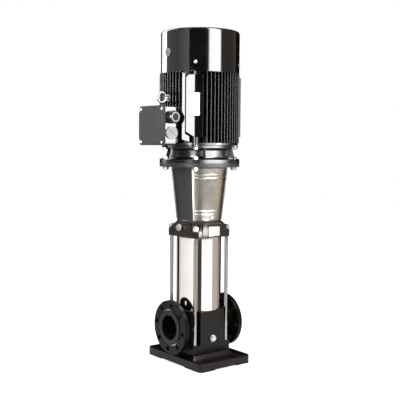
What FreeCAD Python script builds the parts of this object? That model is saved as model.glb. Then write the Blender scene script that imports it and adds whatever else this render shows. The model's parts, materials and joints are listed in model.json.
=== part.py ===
import FreeCAD, Part
import math
import os
from FreeCAD import Vector

# Vertical inline multistage pump with a flange-mounted motor on top.
# Millimetres. +Z is up, the origin is on the floor on the shaft axis,
# the inlet port faces -X, the outlet port +X and the drain plug -Y.

# Clearances
RUNNING_GAP = 0.05
FIT_GAP = 0.1
FREE_GAP = 0.3
BODY_GAP = 0.4

# Small allowances shared by many pieces
MERGE = 1.0
HOLE_RUNOUT = 2.0
EDGE_BREAK = 2.0

# Hexagons: the free end is turned to a circle a little inside the flats
HEX_FACE_SHARE = 0.97
HEX_TURN_ANGLE = 30.0

# Base casting: plate, block, tower and port necks
PLATE_X = 282.0
PLATE_Y = 390.0
PLATE_HEIGHT = 35.0
PLATE_CORNER_R = 22.0
PLATE_EDGE_R = 2.0
DISH_CORNER_R = 6.0
RIM_WIDTH = 11.0
RIM_SLOPE = 7.0
DISH_DEPTH = 8.0
FOOT_RECESS = 4.0
FOOT_GAP_X = 116.0
FOOT_GAP_Y = 170.0
FOOT_BOLT_X = 190.0
FOOT_BOLT_Y = 300.0
FOOT_BOLT_R = 7.0
FOOT_BOSS_R = 17.0
FOOT_BOSS_HEIGHT = 3.0
BLOCK_SIZE = 200.0
BLOCK_CORNER_R = 6.0
BLOCK_TOP_Z = 87.0
SKIRT_OUT = 12.0
SKIRT_TOP_Z = 44.0
TOWER_TOP_Z = 232.0
TOWER_FACE_WIDTH = 130.0
TOWER_LIP = 1.0
TOWER_FACE_OUT = 0.5
PORT_Z = 160.0
PORT_BORE_R = 54.0
PORT_WALL = 12.0
PORT_FACE_X = 161.0
STUB_R = 75.0
STUB_LENGTH = 30.0
SUCTION_R = 60.0
SUCTION_FLOOR_Z = 100.0
PARTITION_WALL = 12.0
OUTLET_GAP = 16.0
OUTLET_FLOOR_Z = 220.0
OUTLET_POCKET_X = 25.0
SPIGOT_HEIGHT = 14.0

# Loose port flanges and their lock rings
FLANGE_R = 117.5
FLANGE_THICKNESS = 22.0
FLANGE_SETBACK = 2.5
FLANGE_CHAMFER = 2.5
FLANGE_PCD = 190.0
FLANGE_HOLE_R = 11.0
FLANGE_HOLES = 8
FLANGE_HOLE_PHASE = 8.0
FLANGE_COUNTERBORE = 9.0
LOCK_RING_THICKNESS = 4.0
LOCK_RING_HEIGHT = 8.0
LOCK_GROOVE_DEPTH = 3.5

# Drain plug and filling plug with their sealing washers
PLUG_THREAD_R = 10.4
PLUG_THREAD_LENGTH = 14.0
PLUG_COLLAR_R = 15.5
PLUG_COLLAR_HEIGHT = 3.0
PLUG_HEX = 22.0
PLUG_HEX_HEIGHT = 8.0
PLUG_SEAL_THICKNESS = 2.0
PLUG_SEAL_R = 15.0
PLUG_PASSAGE_R = 5.0
DRAIN_Z = 110.0

# Sleeve, its O-rings and the tie rods
SLEEVE_R = 98.5
SLEEVE_WALL = 2.0
SLEEVE_LENGTH = 321.0
ORING_R = 2.2
ROD_R = 8.0
ROD_OFFSET = 86.0
ROD_DEPTH = 36.0
ROD_NUT_HEX = 24.0
ROD_NUT_HEIGHT = 15.0
ROD_WASHER_R = 14.0
ROD_WASHER = 3.0
ROD_END = 5.0
ROD_BEVEL = 1.5

# Chamber stack
STAGES = 4
INLET_PLATE = 8.0
CHAMBER_R = 80.0
CHAMBER_WALL = 3.0
CHAMBER_EYE_R = 36.0
RETURN_VANES = 6
RETURN_VANE_WIDTH = 26.0
VANE_THICKNESS = 2.0
VANE_SWEEP = 38.0
VANE_HUB_R = 23.0
BUSH_WALL = 3.0
NECK_RING_WALL = 3.0
CAP_HEIGHT = 47.0
CAP_WALL = 6.0
CAP_WINDOWS = 6
CAP_WINDOW_WIDTH = 42.0
CAP_WINDOW_HEIGHT = 24.0
CAP_SHAFT_GAP = 2.0

# Impellers and shaft
PUMP_SHAFT_R = 12.0
IMPELLER_R = 70.0
IMPELLER_WIDTH = 24.0
IMPELLER_DISC = 3.0
IMPELLER_NECK_R = 32.4
IMPELLER_NECK_WALL = 3.0
IMPELLER_HUB_R = 19.0
IMPELLER_HUB_HEIGHT = 32.0
IMPELLER_BLADES = 6
IMPELLER_SWEEP = 62.0
IMPELLER_LIFT = 5.0
SPACER_WALL = 2.4
IMPELLER_NUT_HEX = 30.0
IMPELLER_NUT_HEIGHT = 11.0
SHAFT_BELOW_NUT = 2.0

# Pump head
HEAD_SIZE = 210.0
HEAD_CORNER = 21.0
HEAD_LUG_HEIGHT = 29.0
HEAD_HEIGHT = 61.0
HEAD_TOP_SIZE = 192.0
HEAD_TOP_CORNER = 50.0
HEAD_ROOF = 22.0
HEAD_POCKET_R = 19.0
HEAD_BORE_R = 46.0
HEAD_PAD_WIDTH = 124.0
HEAD_PAD_OUT = 3.0
HEAD_PAD_BOTTOM = 3.0
HEAD_PAD_TOP = 4.0
HEAD_PLATE_WIDTH = 56.0
HEAD_PLATE_HEIGHT = 40.0
HEAD_PLATE_THICKNESS = 1.5
FILL_HEIGHT = 41.0
FILL_BOSS_R = 17.0
FILL_BOSS_X = 107.0
HEAD_PLATE_CORNER_R = 2.0

# Shaft seal
SEAL_COVER_R = 60.0
SEAL_COVER_THICKNESS = 8.0
SEAL_COVER_DEPTH = 10.0
SEAL_SEAT_R = 27.0
SEAL_SEAT_HEIGHT = 7.0
SEAL_HEAD_R = 24.0
SEAL_HEAD_HEIGHT = 20.0
SEAL_HOLDER_HEIGHT = 6.0
SEAL_WAIST_DEPTH = 4.0
SEAL_WAIST_HEIGHT = 5.0
SEAL_WAIST_SLOPE = 1.0
SEAL_COVER_GAP = 4.0
SEAL_SEAT_GAP = 2.0

# Motor stool and coupling guards
STOOL_HEIGHT = 260.0
STOOL_FOOT_R = 97.0
STOOL_FOOT = 12.0
STOOL_FOOT_BORE_R = 63.0
STOOL_BOTTOM_R = 95.0
STOOL_TOP_R = 120.0
STOOL_WALL = 10.0
STOOL_FLANGE = 17.0
STOOL_LOWER_RING = 26.0
STOOL_UPPER_RING = 28.0
STOOL_WINDOW_ANGLE = 43.0
STOOL_SCREW_R = 6.0
STOOL_SCREW_CIRCLE_R = 74.0
STOOL_SCREW_DEPTH = 20.0
STOOL_SCREW_HEAD_R = 9.0
STOOL_SCREW_HEAD = 12.0
STOOL_SCREW_SOCKET = 9.6
WINDOW_REACH = 20.0
GUARD_ANGLE = 53.0
GUARD_SHEET = 1.5
GUARD_LOWER = 11.0
GUARD_UPPER = 23.0
GUARD_BEAD = 2.0
GUARD_BEAD_WIDTH = 7.0
GUARD_BEAD_EDGE = 26.0
GUARD_BEAD_PITCH = 15.0
GUARD_FOLD_ANGLE = 4.5
GUARD_FOLD = 2.5
GUARD_SCREW_R = 3.0
GUARD_SCREW_HEAD_R = 6.0
GUARD_SCREW_HEAD = 3.0
GUARD_SCREW_LENGTH = 8.0
GUARD_SCREW_EDGE = 13.0
GUARD_SCREW_RAISE = 4.0

# Coupling
COUPLING_R = 42.0
COUPLING_LENGTH = 150.0
COUPLING_PUMP_GRIP = 66.0
COUPLING_SPLIT = 1.5
COUPLING_BEVEL = 3.0
COUPLING_BOLT_R = 5.0
COUPLING_BOLT_Y = 33.0
COUPLING_BOLT_LEVEL = 25.0
COUPLING_BOLT_HEAD_R = 7.5
COUPLING_BOLT_SPAN = 44.0
COUPLING_NUT_HEX = 13.5
SHAFT_END_GAP = 6.0

# Motor flange and drive-end shield
MOTOR_FLANGE_R = 175.0
MOTOR_FLANGE = 17.0
MOTOR_SPIGOT_R = 125.0
MOTOR_SPIGOT = 4.5
MOTOR_FLANGE_PCD = 300.0
MOTOR_BOLT_R = 8.0
MOTOR_BOLT_HOLE_R = 9.3
MOTOR_BOLT_HEX = 24.0
MOTOR_BOLT_HEAD = 10.0
MOTOR_NUT_HEIGHT = 13.0
MOTOR_BOLT_END = 4.0
MOTOR_BOLT_SPOT_R = 15.5
SHIELD_HEIGHT = 86.0
SHIELD_NECK_R = 134.0
SHIELD_RIM_R = 150.0
SHIELD_RIM_HEIGHT = 24.0
SHIELD_RIM_FLARE = 8.0
SHIELD_BAND_R = 166.0
SHIELD_BAND = 11.0
SHIELD_RIBS = 6
SHIELD_RIB_THICKNESS = 8.0
SHIELD_RIB_REACH = 163.0
SHIELD_CAVITY_R = 118.0
SHIELD_CAVITY = 26.0
SHIELD_SPIGOT = 7.0
SHIELD_FOOT_R = 14.0
SHIELD_RIM_EDGE_R = 6.0
SHIELD_SCREW_R = 6.0
SHIELD_SCREW_HEX = 19.0
SHIELD_SCREW_HEAD = 8.0
SHIELD_SCREW_CIRCLE_R = 153.0
SHIELD_SCREW_SPOT_R = 11.8
SHIELD_SCREW_SHORT = 8.0
SHIELD_LUG_R = 15.0
SHIELD_LUG = 20.0
FRAME_LUG = 25.0
BEARING_OUTER_R = 55.0
BEARING_INNER_R = 25.0
BEARING_RING_WALL = 10.0
BEARING_WIDTH = 27.0
BEARING_SHOULDER_R = 42.0
BEARING_SHOULDER = 23.0
BEARING_LEDGE = 6.0
BEARING_DUST_SHIELD = 1.5

# Motor frame: barrel, fins, corner pads, ribs
FRAME_LENGTH = 297.0
BARREL_R = 138.0
BARREL_WALL = 8.0
FIN_TIP_R = 180.0
FIN_ROOT = 5.2
FIN_TIP = 3.2
FIN_PITCH = 15.5
FIN_SINK = 3.0
FRONT_FINS = 12
SIDE_FINS = 10
WIDE_RIB_Y = 83.0
WIDE_RIB = 14.0
WIDE_RIB_REACH = 150.0
PAD_RIDGE = 126.0
PAD_LONG_FLAT = 62.0
PAD_SHORT_FLAT = 28.0
PAD_LOWER = 26.0
PAD_UPPER = 16.0
PAD_SLOPE = 23.0
PAD_ROOT = 85.6
PLATE_BOSS_WIDTH = 46.0
PLATE_BOSS_HEIGHT = 100.0
PLATE_BOSS_R = 180.0
PLATE_BOSS_LEVEL = 160.0
RATING_WIDTH = 40.0
RATING_HEIGHT = 92.0
RATING_THICKNESS = 1.2
RATING_CORNER_R = 4.0

# Stator, rotor and motor shaft
STATOR_LENGTH = 190.0
STATOR_BELOW_MIDDLE = 3.5
STATOR_LEVEL = (FRAME_LENGTH - STATOR_LENGTH) / 2 - STATOR_BELOW_MIDDLE
STATOR_BORE_R = 81.0
AIR_GAP = 0.8
WINDING_R = 122.0
WINDING_INNER_R = 86.0
WINDING_OVERHANG = 30.0
END_RING_R = 74.0
END_RING = 12.0
MOTOR_SHAFT_R = 24.0
MOTOR_SHAFT_OUT = 110.0
ROTOR_SHAFT_R = 32.0

# Non-drive-end shield, fan and fan cover
REAR_SHIELD = 12.0
REAR_SHIELD_R = 160.0
REAR_HUB_R = 68.0
REAR_LUG_HEIGHT = 50.0
REAR_LUG_WIDTH = 26.0
REAR_LUG_DEPTH = 24.0
REAR_SPIGOT = 8.0
COVER_R = 171.0
COVER_SHEET = 2.0
COVER_HEIGHT = 181.0
COVER_EDGE_R = 10.0
COVER_SCREW_LEVEL = 38.0
COVER_SCREW_HEAD_R = 7.0
COVER_SCREW_HEAD = 3.5
COVER_SCREW_R = 3.0
COVER_SCREW_LENGTH = 12.0
COVER_SCREW_DOME_R = 8.75
COVER_SCREW_DOME_DEPTH = 5.25
COVER_PLUG_R = 18.0
COVER_PLUG_LEVEL = 84.0
COVER_PLUG_HOLE_R = 14.0
COVER_PLUG_HEAD = 3.0
GRILLE_RINGS = 4
GRILLE_SLOTS = 10
GRILLE_SLOT = 14.0
GRILLE_WEB = 10.0
GRILLE_FIRST_R = 42.0
GRILLE_SLOT_ANGLE = 28.0
FAN_R = 140.0
FAN_HUB_R = 34.0
FAN_LEVEL = 56.0
FAN_HEIGHT = 56.0
FAN_DISC = 4.0
FAN_BLADES = 9
FAN_BLADE = 4.0
FAN_HUB_HEIGHT = 44.0
FAN_TIP_HEIGHT = 34.0
FAN_ROOT_HEIGHT = 28.0
FAN_PEAK_R = 54.0
SHAFT_BELOW_FAN = 6.0

# Terminal box on the -X side
BOX_BACK_X = 179.0
BOX_FRONT_X = 248.0
BOX_WIDTH = 172.0
BOX_DROP = 8.0
BOX_HEIGHT = 158.0
BOX_WALL = 6.0
BOX_CHAMFER = 15.0
BOX_NECK_WIDTH = 130.0
BOX_NECK_LOWER = 14.0
BOX_NECK_HEIGHT = 118.0
BOX_CORNER_R = 5.0
BOX_SPACE = 3.0
LID_OVERLAP = 3.0
LID_EDGE = 8.0
LID_PANEL = 4.0
LID_CORNER = 26.0
LID_CORNER_R = 8.0
LID_SCREW_INSET = 13.0
LID_SCREW_R = 3.0
LID_SCREW_HEAD_R = 5.5
LID_SCREW_HEAD = 3.0
LID_SCREW_LENGTH = 16.0
LID_POST_R = 8.0
BOARD_WIDTH = 90.0
BOARD_HEIGHT = 60.0
BOARD_THICKNESS = 14.0
BOARD_CORNER_R = 4.0
STUD_R = 3.0
STUD_OUT = 12.0
STUD_PITCH = 25.0
GLAND_X = 216.0
GLAND_HEIGHT = 113.0
GLAND_R = 29.0
GLAND_FLANGE = 11.0
GLAND_NUT_R = 26.5
GLAND_NUT = 19.0
GLAND_BORE_R = 15.0
GLAND_HOLE_R = 20.0
GLAND_HEX = 55.0
GLAND_THREAD_OUT = 6.0
GLAND_NOSE_R = 21.5
GLAND_NOSE = 13.0
GLAND_NUT_CHAMFER = 5.5
GLAND_DISC = 3.0
BLANK_HEIGHT = 48.0
BLANK_R = 28.0
BLANK_THICKNESS = 6.0
BLANK_SLOT = 5.0
BLANK_SLOT_DEPTH = 2.5
BLANK_SLOT_ANGLE = 40.0

# Lifting eye
EYE_ABOVE_BOX = 40.0
EYE_X = 204.0
EYE_R = 20.7
EYE_WIRE_R = 5.2
EYE_COLLAR_R = 14.0
EYE_COLLAR = 6.0
EYE_SHANK_R = 6.0
EYE_SHANK = 20.0
EYE_BOSS_R = 16.0
EYE_BOSS_X = 168.0
EYE_SPACE = 6.0
EYE_NECK_R = 11.2

# Levels along the axis, from the base up
TOWER_REACH = SLEEVE_R + TOWER_LIP + TOWER_FACE_OUT
HEAD_Z = TOWER_TOP_Z + SLEEVE_LENGTH
HEAD_LUG_Z = HEAD_Z + HEAD_LUG_HEIGHT
HEAD_ROOF_Z = HEAD_Z + HEAD_ROOF
HEAD_TOP_Z = HEAD_Z + HEAD_HEIGHT
STOOL_TOP_Z = HEAD_TOP_Z + STOOL_HEIGHT
FRAME_Z = STOOL_TOP_Z + SHIELD_HEIGHT
FRAME_TOP_Z = FRAME_Z + FRAME_LENGTH
COVER_TOP_Z = FRAME_TOP_Z + COVER_HEIGHT
BOX_BOTTOM_Z = FRAME_Z - BOX_DROP
BOX_TOP_Z = BOX_BOTTOM_Z + BOX_HEIGHT
EYE_Z = BOX_TOP_Z + EYE_ABOVE_BOX
DISH_Z = PLATE_HEIGHT - DISH_DEPTH
STACK_Z = TOWER_TOP_Z + INLET_PLATE
CAP_Z = HEAD_ROOF_Z - CAP_HEIGHT
STAGE_PITCH = (CAP_Z - STACK_Z) / STAGES
MOTOR_SHAFT_END_Z = STOOL_TOP_Z - MOTOR_SHAFT_OUT
PUMP_SHAFT_TOP_Z = MOTOR_SHAFT_END_Z - SHAFT_END_GAP
COUPLING_Z = PUMP_SHAFT_TOP_Z - COUPLING_PUMP_GRIP
LOWER_BEARING_Z = STOOL_TOP_Z + BEARING_SHOULDER
UPPER_BEARING_Z = FRAME_TOP_Z + REAR_SHIELD - BODY_GAP - RUNNING_GAP
SLEEVE_INNER_R = SLEEVE_R - SLEEVE_WALL
SPIGOT_R = SLEEVE_INNER_R - FIT_GAP
PARTITION_R = SUCTION_R + PARTITION_WALL
OUTLET_R = PARTITION_R + OUTLET_GAP

DOWN = Vector(0, 0, -1)
UP = Vector(0, 0, 1)
DIAGONAL_ANGLES = (45, 135, 225, 315)


def polar(radius, degrees, z=0.0):
    angle = math.radians(degrees)
    return Vector(radius * math.cos(angle), radius * math.sin(angle), z)


def rod(radius, height, base=Vector(0, 0, 0), axis=UP):
    return Part.makeCylinder(radius, height, base, axis)


def ring(outer, inner, height, base=Vector(0, 0, 0), axis=UP):
    return rod(outer, height, base, axis).cut(rod(inner, height, base, axis))


def block(x_low, x_high, y_low, y_high, z_low, z_high):
    corner = Vector(x_low, y_low, z_low)
    return Part.makeBox(x_high - x_low, y_high - y_low, z_high - z_low, corner)


def polygon_face(points):
    return Part.Face(Part.makePolygon(points + [points[0]]))


def turned(profile, sweep=360.0):
    """Turn a closed outline of (radius, z) points about the Z axis."""
    face = polygon_face([Vector(r, 0, z) for r, z in profile])
    return face.revolve(Vector(0, 0, 0), UP, sweep)


def rounded_outline(width, depth, radius, z):
    """Wire of a rectangle with round corners, centred on the Z axis."""
    x = width / 2
    y = depth / 2
    edges = []
    centres = ((x, y, 0), (-x, y, 90), (-x, -y, 180), (x, -y, 270))
    previous = None
    for corner_x, corner_y, start in centres:
        centre = Vector(
            corner_x - math.copysign(radius, corner_x),
            corner_y - math.copysign(radius, corner_y),
            z,
        )
        first = centre + polar(radius, start)
        middle = centre + polar(radius, start + 45)
        last = centre + polar(radius, start + 90)
        if previous is not None:
            edges.append(Part.makeLine(previous, first))
        edges.append(Part.Arc(first, middle, last).toShape())
        previous = last
    edges.append(Part.makeLine(previous, edges[0].Vertexes[0].Point))
    return Part.Wire(edges)


def rounded_prism(width, depth, radius, z_low, z_high):
    face = Part.Face(rounded_outline(width, depth, radius, z_low))
    return face.extrude(Vector(0, 0, z_high - z_low))


def cut_corner_outline(size, corner, z):
    """Points of a square with its four corners cut off at 45 degrees."""
    h = size / 2
    c = h - corner
    points = ((h, -c), (h, c), (c, h), (-c, h), (-h, c), (-h, -c), (-c, -h), (c, -h))
    return [Vector(x, y, z) for x, y in points]


def frustum(low_points, high_points):
    low = Part.makePolygon(low_points + [low_points[0]])
    high = Part.makePolygon(high_points + [high_points[0]])
    return Part.makeLoft([low, high], True, True)


def hexagon(across_flats, height, base, axis=UP, turn=0.0):
    """Hexagonal prism standing on base along axis."""
    radius = across_flats / math.sqrt(3)
    points = [polar(radius, turn + 60 * i) for i in range(6)]
    solid = polygon_face(points).extrude(Vector(0, 0, height))
    solid.Placement = FreeCAD.Placement(base, FreeCAD.Rotation(UP, axis))
    return solid


def hex_envelope(across_flats, height, both_ends):
    """Turned outline that takes the corners off a hexagon at its ends."""
    corner_r = across_flats / math.sqrt(3)
    face_r = across_flats / 2 * HEX_FACE_SHARE
    reach = 2 * (corner_r - face_r)
    drop = reach * math.tan(math.radians(HEX_TURN_ANGLE))
    outline = [(0, 0)]
    if both_ends:
        outline += [(face_r, 0), (face_r + reach, drop)]
    else:
        outline.append((face_r + reach, 0))
    outline += [(face_r + reach, height - drop), (face_r, height), (0, height)]
    return turned(outline)


def hex_head(across_flats, height, base, axis=UP, both_ends=False):
    """Bolt head whose hexagon is turned off at its free end."""
    envelope = hex_envelope(across_flats, height, both_ends)
    envelope.Placement = FreeCAD.Placement(base, FreeCAD.Rotation(UP, axis))
    return hexagon(across_flats, height, base, axis).common(envelope)


def hex_nut(across_flats, height, base):
    return hex_head(across_flats, height, base, UP, True)


def rotated(shape, degrees):
    copy = shape.copy()
    copy.rotate(Vector(0, 0, 0), UP, degrees)
    return copy


def around(shape, angles):
    return [rotated(shape, angle) for angle in angles]


def evenly(shape, count, start=0.0):
    return around(shape, [start + 360.0 * i / count for i in range(count)])


def moved(shape, offset):
    copy = shape.copy()
    copy.translate(offset)
    return copy


def at_corners(shape, x, y):
    return [moved(shape, Vector(sx * x, sy * y, 0)) for sx in (1, -1) for sy in (1, -1)]


def fused(shapes):
    return shapes[0].multiFuse(shapes[1:]).removeSplitter()


def bevelled(cylinder, size):
    """Upright cylinder with both end edges chamfered."""
    ends = [edge for edge in cylinder.Edges if edge.BoundBox.ZLength < 1e-6]
    return cylinder.makeChamfer(size, ends)


def rounded_at(solid, fillet_r, radius, z):
    """Fillet the ring edge of a turned solid that lies at a radius and level."""
    rings = []
    for edge in solid.Edges:
        box = edge.BoundBox
        level = abs(box.ZMin - z) < 1e-6 and box.ZLength < 1e-6
        if level and abs(box.XMax - radius) < 1e-6:
            rings.append(edge)
    return solid.makeFillet(fillet_r, rings)


def mirrored_x(shape):
    return shape.mirror(Vector(0, 0, 0), Vector(1, 0, 0))


def curved_blade(r_in, r_out, sweep, thickness, z, height):
    """Blade that sweeps back by an angle from its inner to its outer end."""

    def side(sign):
        ends = []
        for radius, share in ((r_in, 0.0), ((r_in + r_out) / 2, 0.62), (r_out, 1.0)):
            half = math.degrees(thickness / 2 / radius)
            ends.append(polar(radius, -sweep * share + sign * half, z))
        return ends

    left = side(1)
    right = side(-1)
    edges = [
        Part.Arc(left[0], left[1], left[2]).toShape(),
        Part.makeLine(left[2], right[2]),
        Part.Arc(right[2], right[1], right[0]).toShape(),
        Part.makeLine(right[0], left[0]),
    ]
    return Part.Face(Part.Wire(edges)).extrude(Vector(0, 0, height))


# Base casting

def base_plate():
    plate = rounded_prism(PLATE_X, PLATE_Y, PLATE_CORNER_R, 0, PLATE_HEIGHT)
    brink = [edge for edge in plate.Edges if edge.BoundBox.ZMin > PLATE_HEIGHT - PLATE_EDGE_R]
    plate = plate.makeFillet(PLATE_EDGE_R, brink)
    inset = 2 * RIM_WIDTH
    floor_inset = inset + 2 * RIM_SLOPE
    floor = rounded_outline(
        PLATE_X - floor_inset, PLATE_Y - floor_inset, DISH_CORNER_R, DISH_Z
    )
    brim = rounded_outline(
        PLATE_X - inset, PLATE_Y - inset, PLATE_CORNER_R - RIM_WIDTH, PLATE_HEIGHT
    )
    plate = plate.cut(Part.makeLoft([floor, brim], True, True))
    across = block(-PLATE_X, PLATE_X, -FOOT_GAP_Y / 2, FOOT_GAP_Y / 2, 0, FOOT_RECESS)
    along = block(-FOOT_GAP_X / 2, FOOT_GAP_X / 2, -PLATE_Y, PLATE_Y, 0, FOOT_RECESS)
    plate = plate.cut(across.fuse(along))
    boss = rod(FOOT_BOSS_R, FOOT_BOSS_HEIGHT, Vector(0, 0, DISH_Z))
    return plate.multiFuse(at_corners(boss, FOOT_BOLT_X / 2, FOOT_BOLT_Y / 2))


def port_neck(side):
    axis = Vector(side, 0, 0)
    inner_x = PORT_FACE_X - STUB_LENGTH
    neck = rod(PORT_BORE_R + PORT_WALL, inner_x, Vector(0, 0, PORT_Z), axis)
    stub = rod(STUB_R, STUB_LENGTH, Vector(side * inner_x, 0, PORT_Z), axis)
    return neck.fuse(stub)


def lock_groove(side):
    start = Vector(side * (lock_ring_x() - FIT_GAP), 0, PORT_Z)
    width = LOCK_RING_THICKNESS + 2 * FIT_GAP
    return ring(STUB_R + MERGE, STUB_R - LOCK_GROOVE_DEPTH, width, start, Vector(side, 0, 0))


def lock_ring_x():
    """Inner face of the lock ring, on the shoulder of the flange."""
    return PORT_FACE_X - FLANGE_SETBACK - FLANGE_COUNTERBORE + FREE_GAP / 2


def flow_passages():
    suction = rod(SUCTION_R, TOWER_TOP_Z - SUCTION_FLOOR_Z, Vector(0, 0, SUCTION_FLOOR_Z))
    inlet = rod(PORT_BORE_R, PORT_FACE_X, Vector(0, 0, PORT_Z), Vector(-1, 0, 0))
    annulus_top = TOWER_TOP_Z + SPIGOT_HEIGHT
    annulus = ring(OUTLET_R, PARTITION_R, annulus_top - OUTLET_FLOOR_Z, Vector(0, 0, OUTLET_FLOOR_Z))
    floor_z = PORT_Z - PORT_BORE_R
    pocket = ring(OUTLET_R, PARTITION_R, TOWER_TOP_Z - floor_z, Vector(0, 0, floor_z))
    pocket = pocket.common(
        block(OUTLET_POCKET_X, OUTLET_R, -OUTLET_R, OUTLET_R, floor_z, TOWER_TOP_Z)
    )
    bore_start = PARTITION_R + HOLE_RUNOUT
    outlet = rod(
        PORT_BORE_R, PORT_FACE_X - bore_start, Vector(bore_start, 0, PORT_Z), Vector(1, 0, 0)
    )
    return [suction, inlet, annulus, pocket, outlet]


def oring_level_low():
    return TOWER_TOP_Z + SPIGOT_HEIGHT / 2


def oring_level_high():
    return HEAD_Z - SPIGOT_HEIGHT / 2


def oring_major_r():
    return SLEEVE_INNER_R - ORING_R - RUNNING_GAP


def oring_groove(z):
    width = 2 * ORING_R + 4 * FIT_GAP
    depth_r = oring_major_r() - ORING_R - RUNNING_GAP
    return ring(SLEEVE_R, depth_r, width, Vector(0, 0, z - width / 2))


def plug_hole(base, axis, depth):
    thread = rod(PLUG_THREAD_R + FIT_GAP * 2, PLUG_THREAD_LENGTH + HOLE_RUNOUT, base, axis)
    passage = rod(PLUG_PASSAGE_R, depth, base, axis)
    return thread.fuse(passage)


def pump_base():
    side = BLOCK_SIZE
    skirt_low = rounded_outline(
        side + 2 * SKIRT_OUT, side + 2 * SKIRT_OUT, BLOCK_CORNER_R + SKIRT_OUT / 2, DISH_Z
    )
    skirt_high = rounded_outline(side, side, BLOCK_CORNER_R, SKIRT_TOP_Z)
    skirt = Part.makeLoft([skirt_low, skirt_high], True, True)
    lower = rounded_prism(side, side, BLOCK_CORNER_R, DISH_Z, BLOCK_TOP_Z)
    face = TOWER_FACE_WIDTH / 2
    arms = [
        block(-face, face, -TOWER_REACH, TOWER_REACH, BLOCK_TOP_Z, TOWER_TOP_Z),
        block(-TOWER_REACH, TOWER_REACH, -face, face, BLOCK_TOP_Z, TOWER_TOP_Z),
    ]
    barrel_r = SLEEVE_R + TOWER_LIP
    barrel = rod(barrel_r, TOWER_TOP_Z - BLOCK_TOP_Z, Vector(0, 0, BLOCK_TOP_Z))
    spigot = rod(SPIGOT_R, SPIGOT_HEIGHT, Vector(0, 0, TOWER_TOP_Z))
    body = base_plate().multiFuse([skirt, lower, barrel, spigot] + arms)
    body = body.multiFuse([port_neck(-1), port_neck(1)])
    spigot_bore = rod(OUTLET_R, SPIGOT_HEIGHT, Vector(0, 0, TOWER_TOP_Z))
    holes = flow_passages() + [spigot_bore, oring_groove(oring_level_low())]
    holes += [lock_groove(-1), lock_groove(1)]
    rod_hole = rod(ROD_R + FIT_GAP, ROD_DEPTH, Vector(0, 0, BLOCK_TOP_Z - ROD_DEPTH))
    holes += at_corners(rod_hole, ROD_OFFSET, ROD_OFFSET)
    foot_hole = rod(FOOT_BOLT_R, PLATE_HEIGHT)
    holes += at_corners(foot_hole, FOOT_BOLT_X / 2, FOOT_BOLT_Y / 2)
    drain, outward = drain_seat()
    holes.append(plug_hole(drain, -outward, TOWER_REACH - SUCTION_R + PLUG_PASSAGE_R))
    return body.cut(holes).removeSplitter()


# Loose flanges and plugs

def flange_lock_rings():
    rings = []
    for side in (-1, 1):
        inner = STUB_R - LOCK_GROOVE_DEPTH + RUNNING_GAP
        outer = inner + LOCK_RING_HEIGHT
        start = Vector(side * lock_ring_x(), 0, PORT_Z)
        rings.append(ring(outer, inner, LOCK_RING_THICKNESS, start, Vector(side, 0, 0)))
    return rings


def port_flange():
    """Loose flange of the inlet side, turned about its own X axis."""
    front = PORT_FACE_X - FLANGE_SETBACK
    back = front - FLANGE_THICKNESS
    counterbore_r = STUB_R - LOCK_GROOVE_DEPTH + LOCK_RING_HEIGHT + BODY_GAP
    bore_r = STUB_R + BODY_GAP
    shoulder = front - FLANGE_COUNTERBORE
    c = FLANGE_CHAMFER
    outline = [
        (bore_r, back),
        (FLANGE_R - c, back),
        (FLANGE_R, back + c),
        (FLANGE_R, front - c),
        (FLANGE_R - c, front),
        (counterbore_r, front),
        (counterbore_r, shoulder),
        (bore_r, shoulder),
    ]
    flange = turned(outline)
    hole = rod(FLANGE_HOLE_R, FLANGE_THICKNESS, Vector(FLANGE_PCD / 2, 0, back))
    flange = flange.cut(evenly(hole, FLANGE_HOLES))
    flange.rotate(Vector(0, 0, 0), Vector(0, 1, 0), -90)
    flange.rotate(Vector(0, 0, 0), Vector(1, 0, 0), 90 + FLANGE_HOLE_PHASE)
    return moved(flange, Vector(0, 0, PORT_Z))


def plug(base, axis):
    """Hexagon plug: threaded shank, collar and head, seated on its washer."""
    seat = base + axis * PLUG_SEAL_THICKNESS
    length = PLUG_THREAD_LENGTH + PLUG_SEAL_THICKNESS
    shank = rod(PLUG_THREAD_R, length, seat, -axis)
    collar = rod(PLUG_COLLAR_R, PLUG_COLLAR_HEIGHT, seat, axis)
    head = hex_head(PLUG_HEX, PLUG_HEX_HEIGHT, seat + axis * PLUG_COLLAR_HEIGHT, axis)
    return fused([shank, collar, head])


def plug_seal(base, axis):
    inner = PLUG_THREAD_R + FIT_GAP
    return ring(PLUG_SEAL_R, inner, PLUG_SEAL_THICKNESS, base, axis)


def drain_seat():
    return Vector(0, -TOWER_REACH, DRAIN_Z), Vector(0, -1, 0)


def fill_seat():
    return Vector(-FILL_BOSS_X, 0, HEAD_Z + FILL_HEIGHT), Vector(-1, 0, 0)


# Sleeve, tie rods

def outer_sleeve():
    return ring(SLEEVE_R, SLEEVE_INNER_R, SLEEVE_LENGTH, Vector(0, 0, TOWER_TOP_Z))


def sleeve_orings():
    rings = []
    for z in (oring_level_low(), oring_level_high()):
        rings.append(Part.makeTorus(oring_major_r(), ORING_R, Vector(0, 0, z)))
    return rings


def tie_rods():
    bottom = BLOCK_TOP_Z - ROD_DEPTH
    top = HEAD_LUG_Z + ROD_WASHER + ROD_NUT_HEIGHT + ROD_END
    tie_rod = bevelled(rod(ROD_R, top - bottom, Vector(0, 0, bottom)), ROD_BEVEL)
    return at_corners(tie_rod, ROD_OFFSET, ROD_OFFSET)


def tie_rod_washers():
    washer = ring(ROD_WASHER_R, ROD_R + FIT_GAP, ROD_WASHER, Vector(0, 0, HEAD_LUG_Z))
    return at_corners(washer, ROD_OFFSET, ROD_OFFSET)


def tie_rod_nuts():
    base = Vector(0, 0, HEAD_LUG_Z + ROD_WASHER)
    nut = hex_nut(ROD_NUT_HEX, ROD_NUT_HEIGHT, base)
    nut = nut.cut(rod(ROD_R + FIT_GAP, ROD_NUT_HEIGHT, base))
    return at_corners(nut, ROD_OFFSET, ROD_OFFSET)


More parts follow.
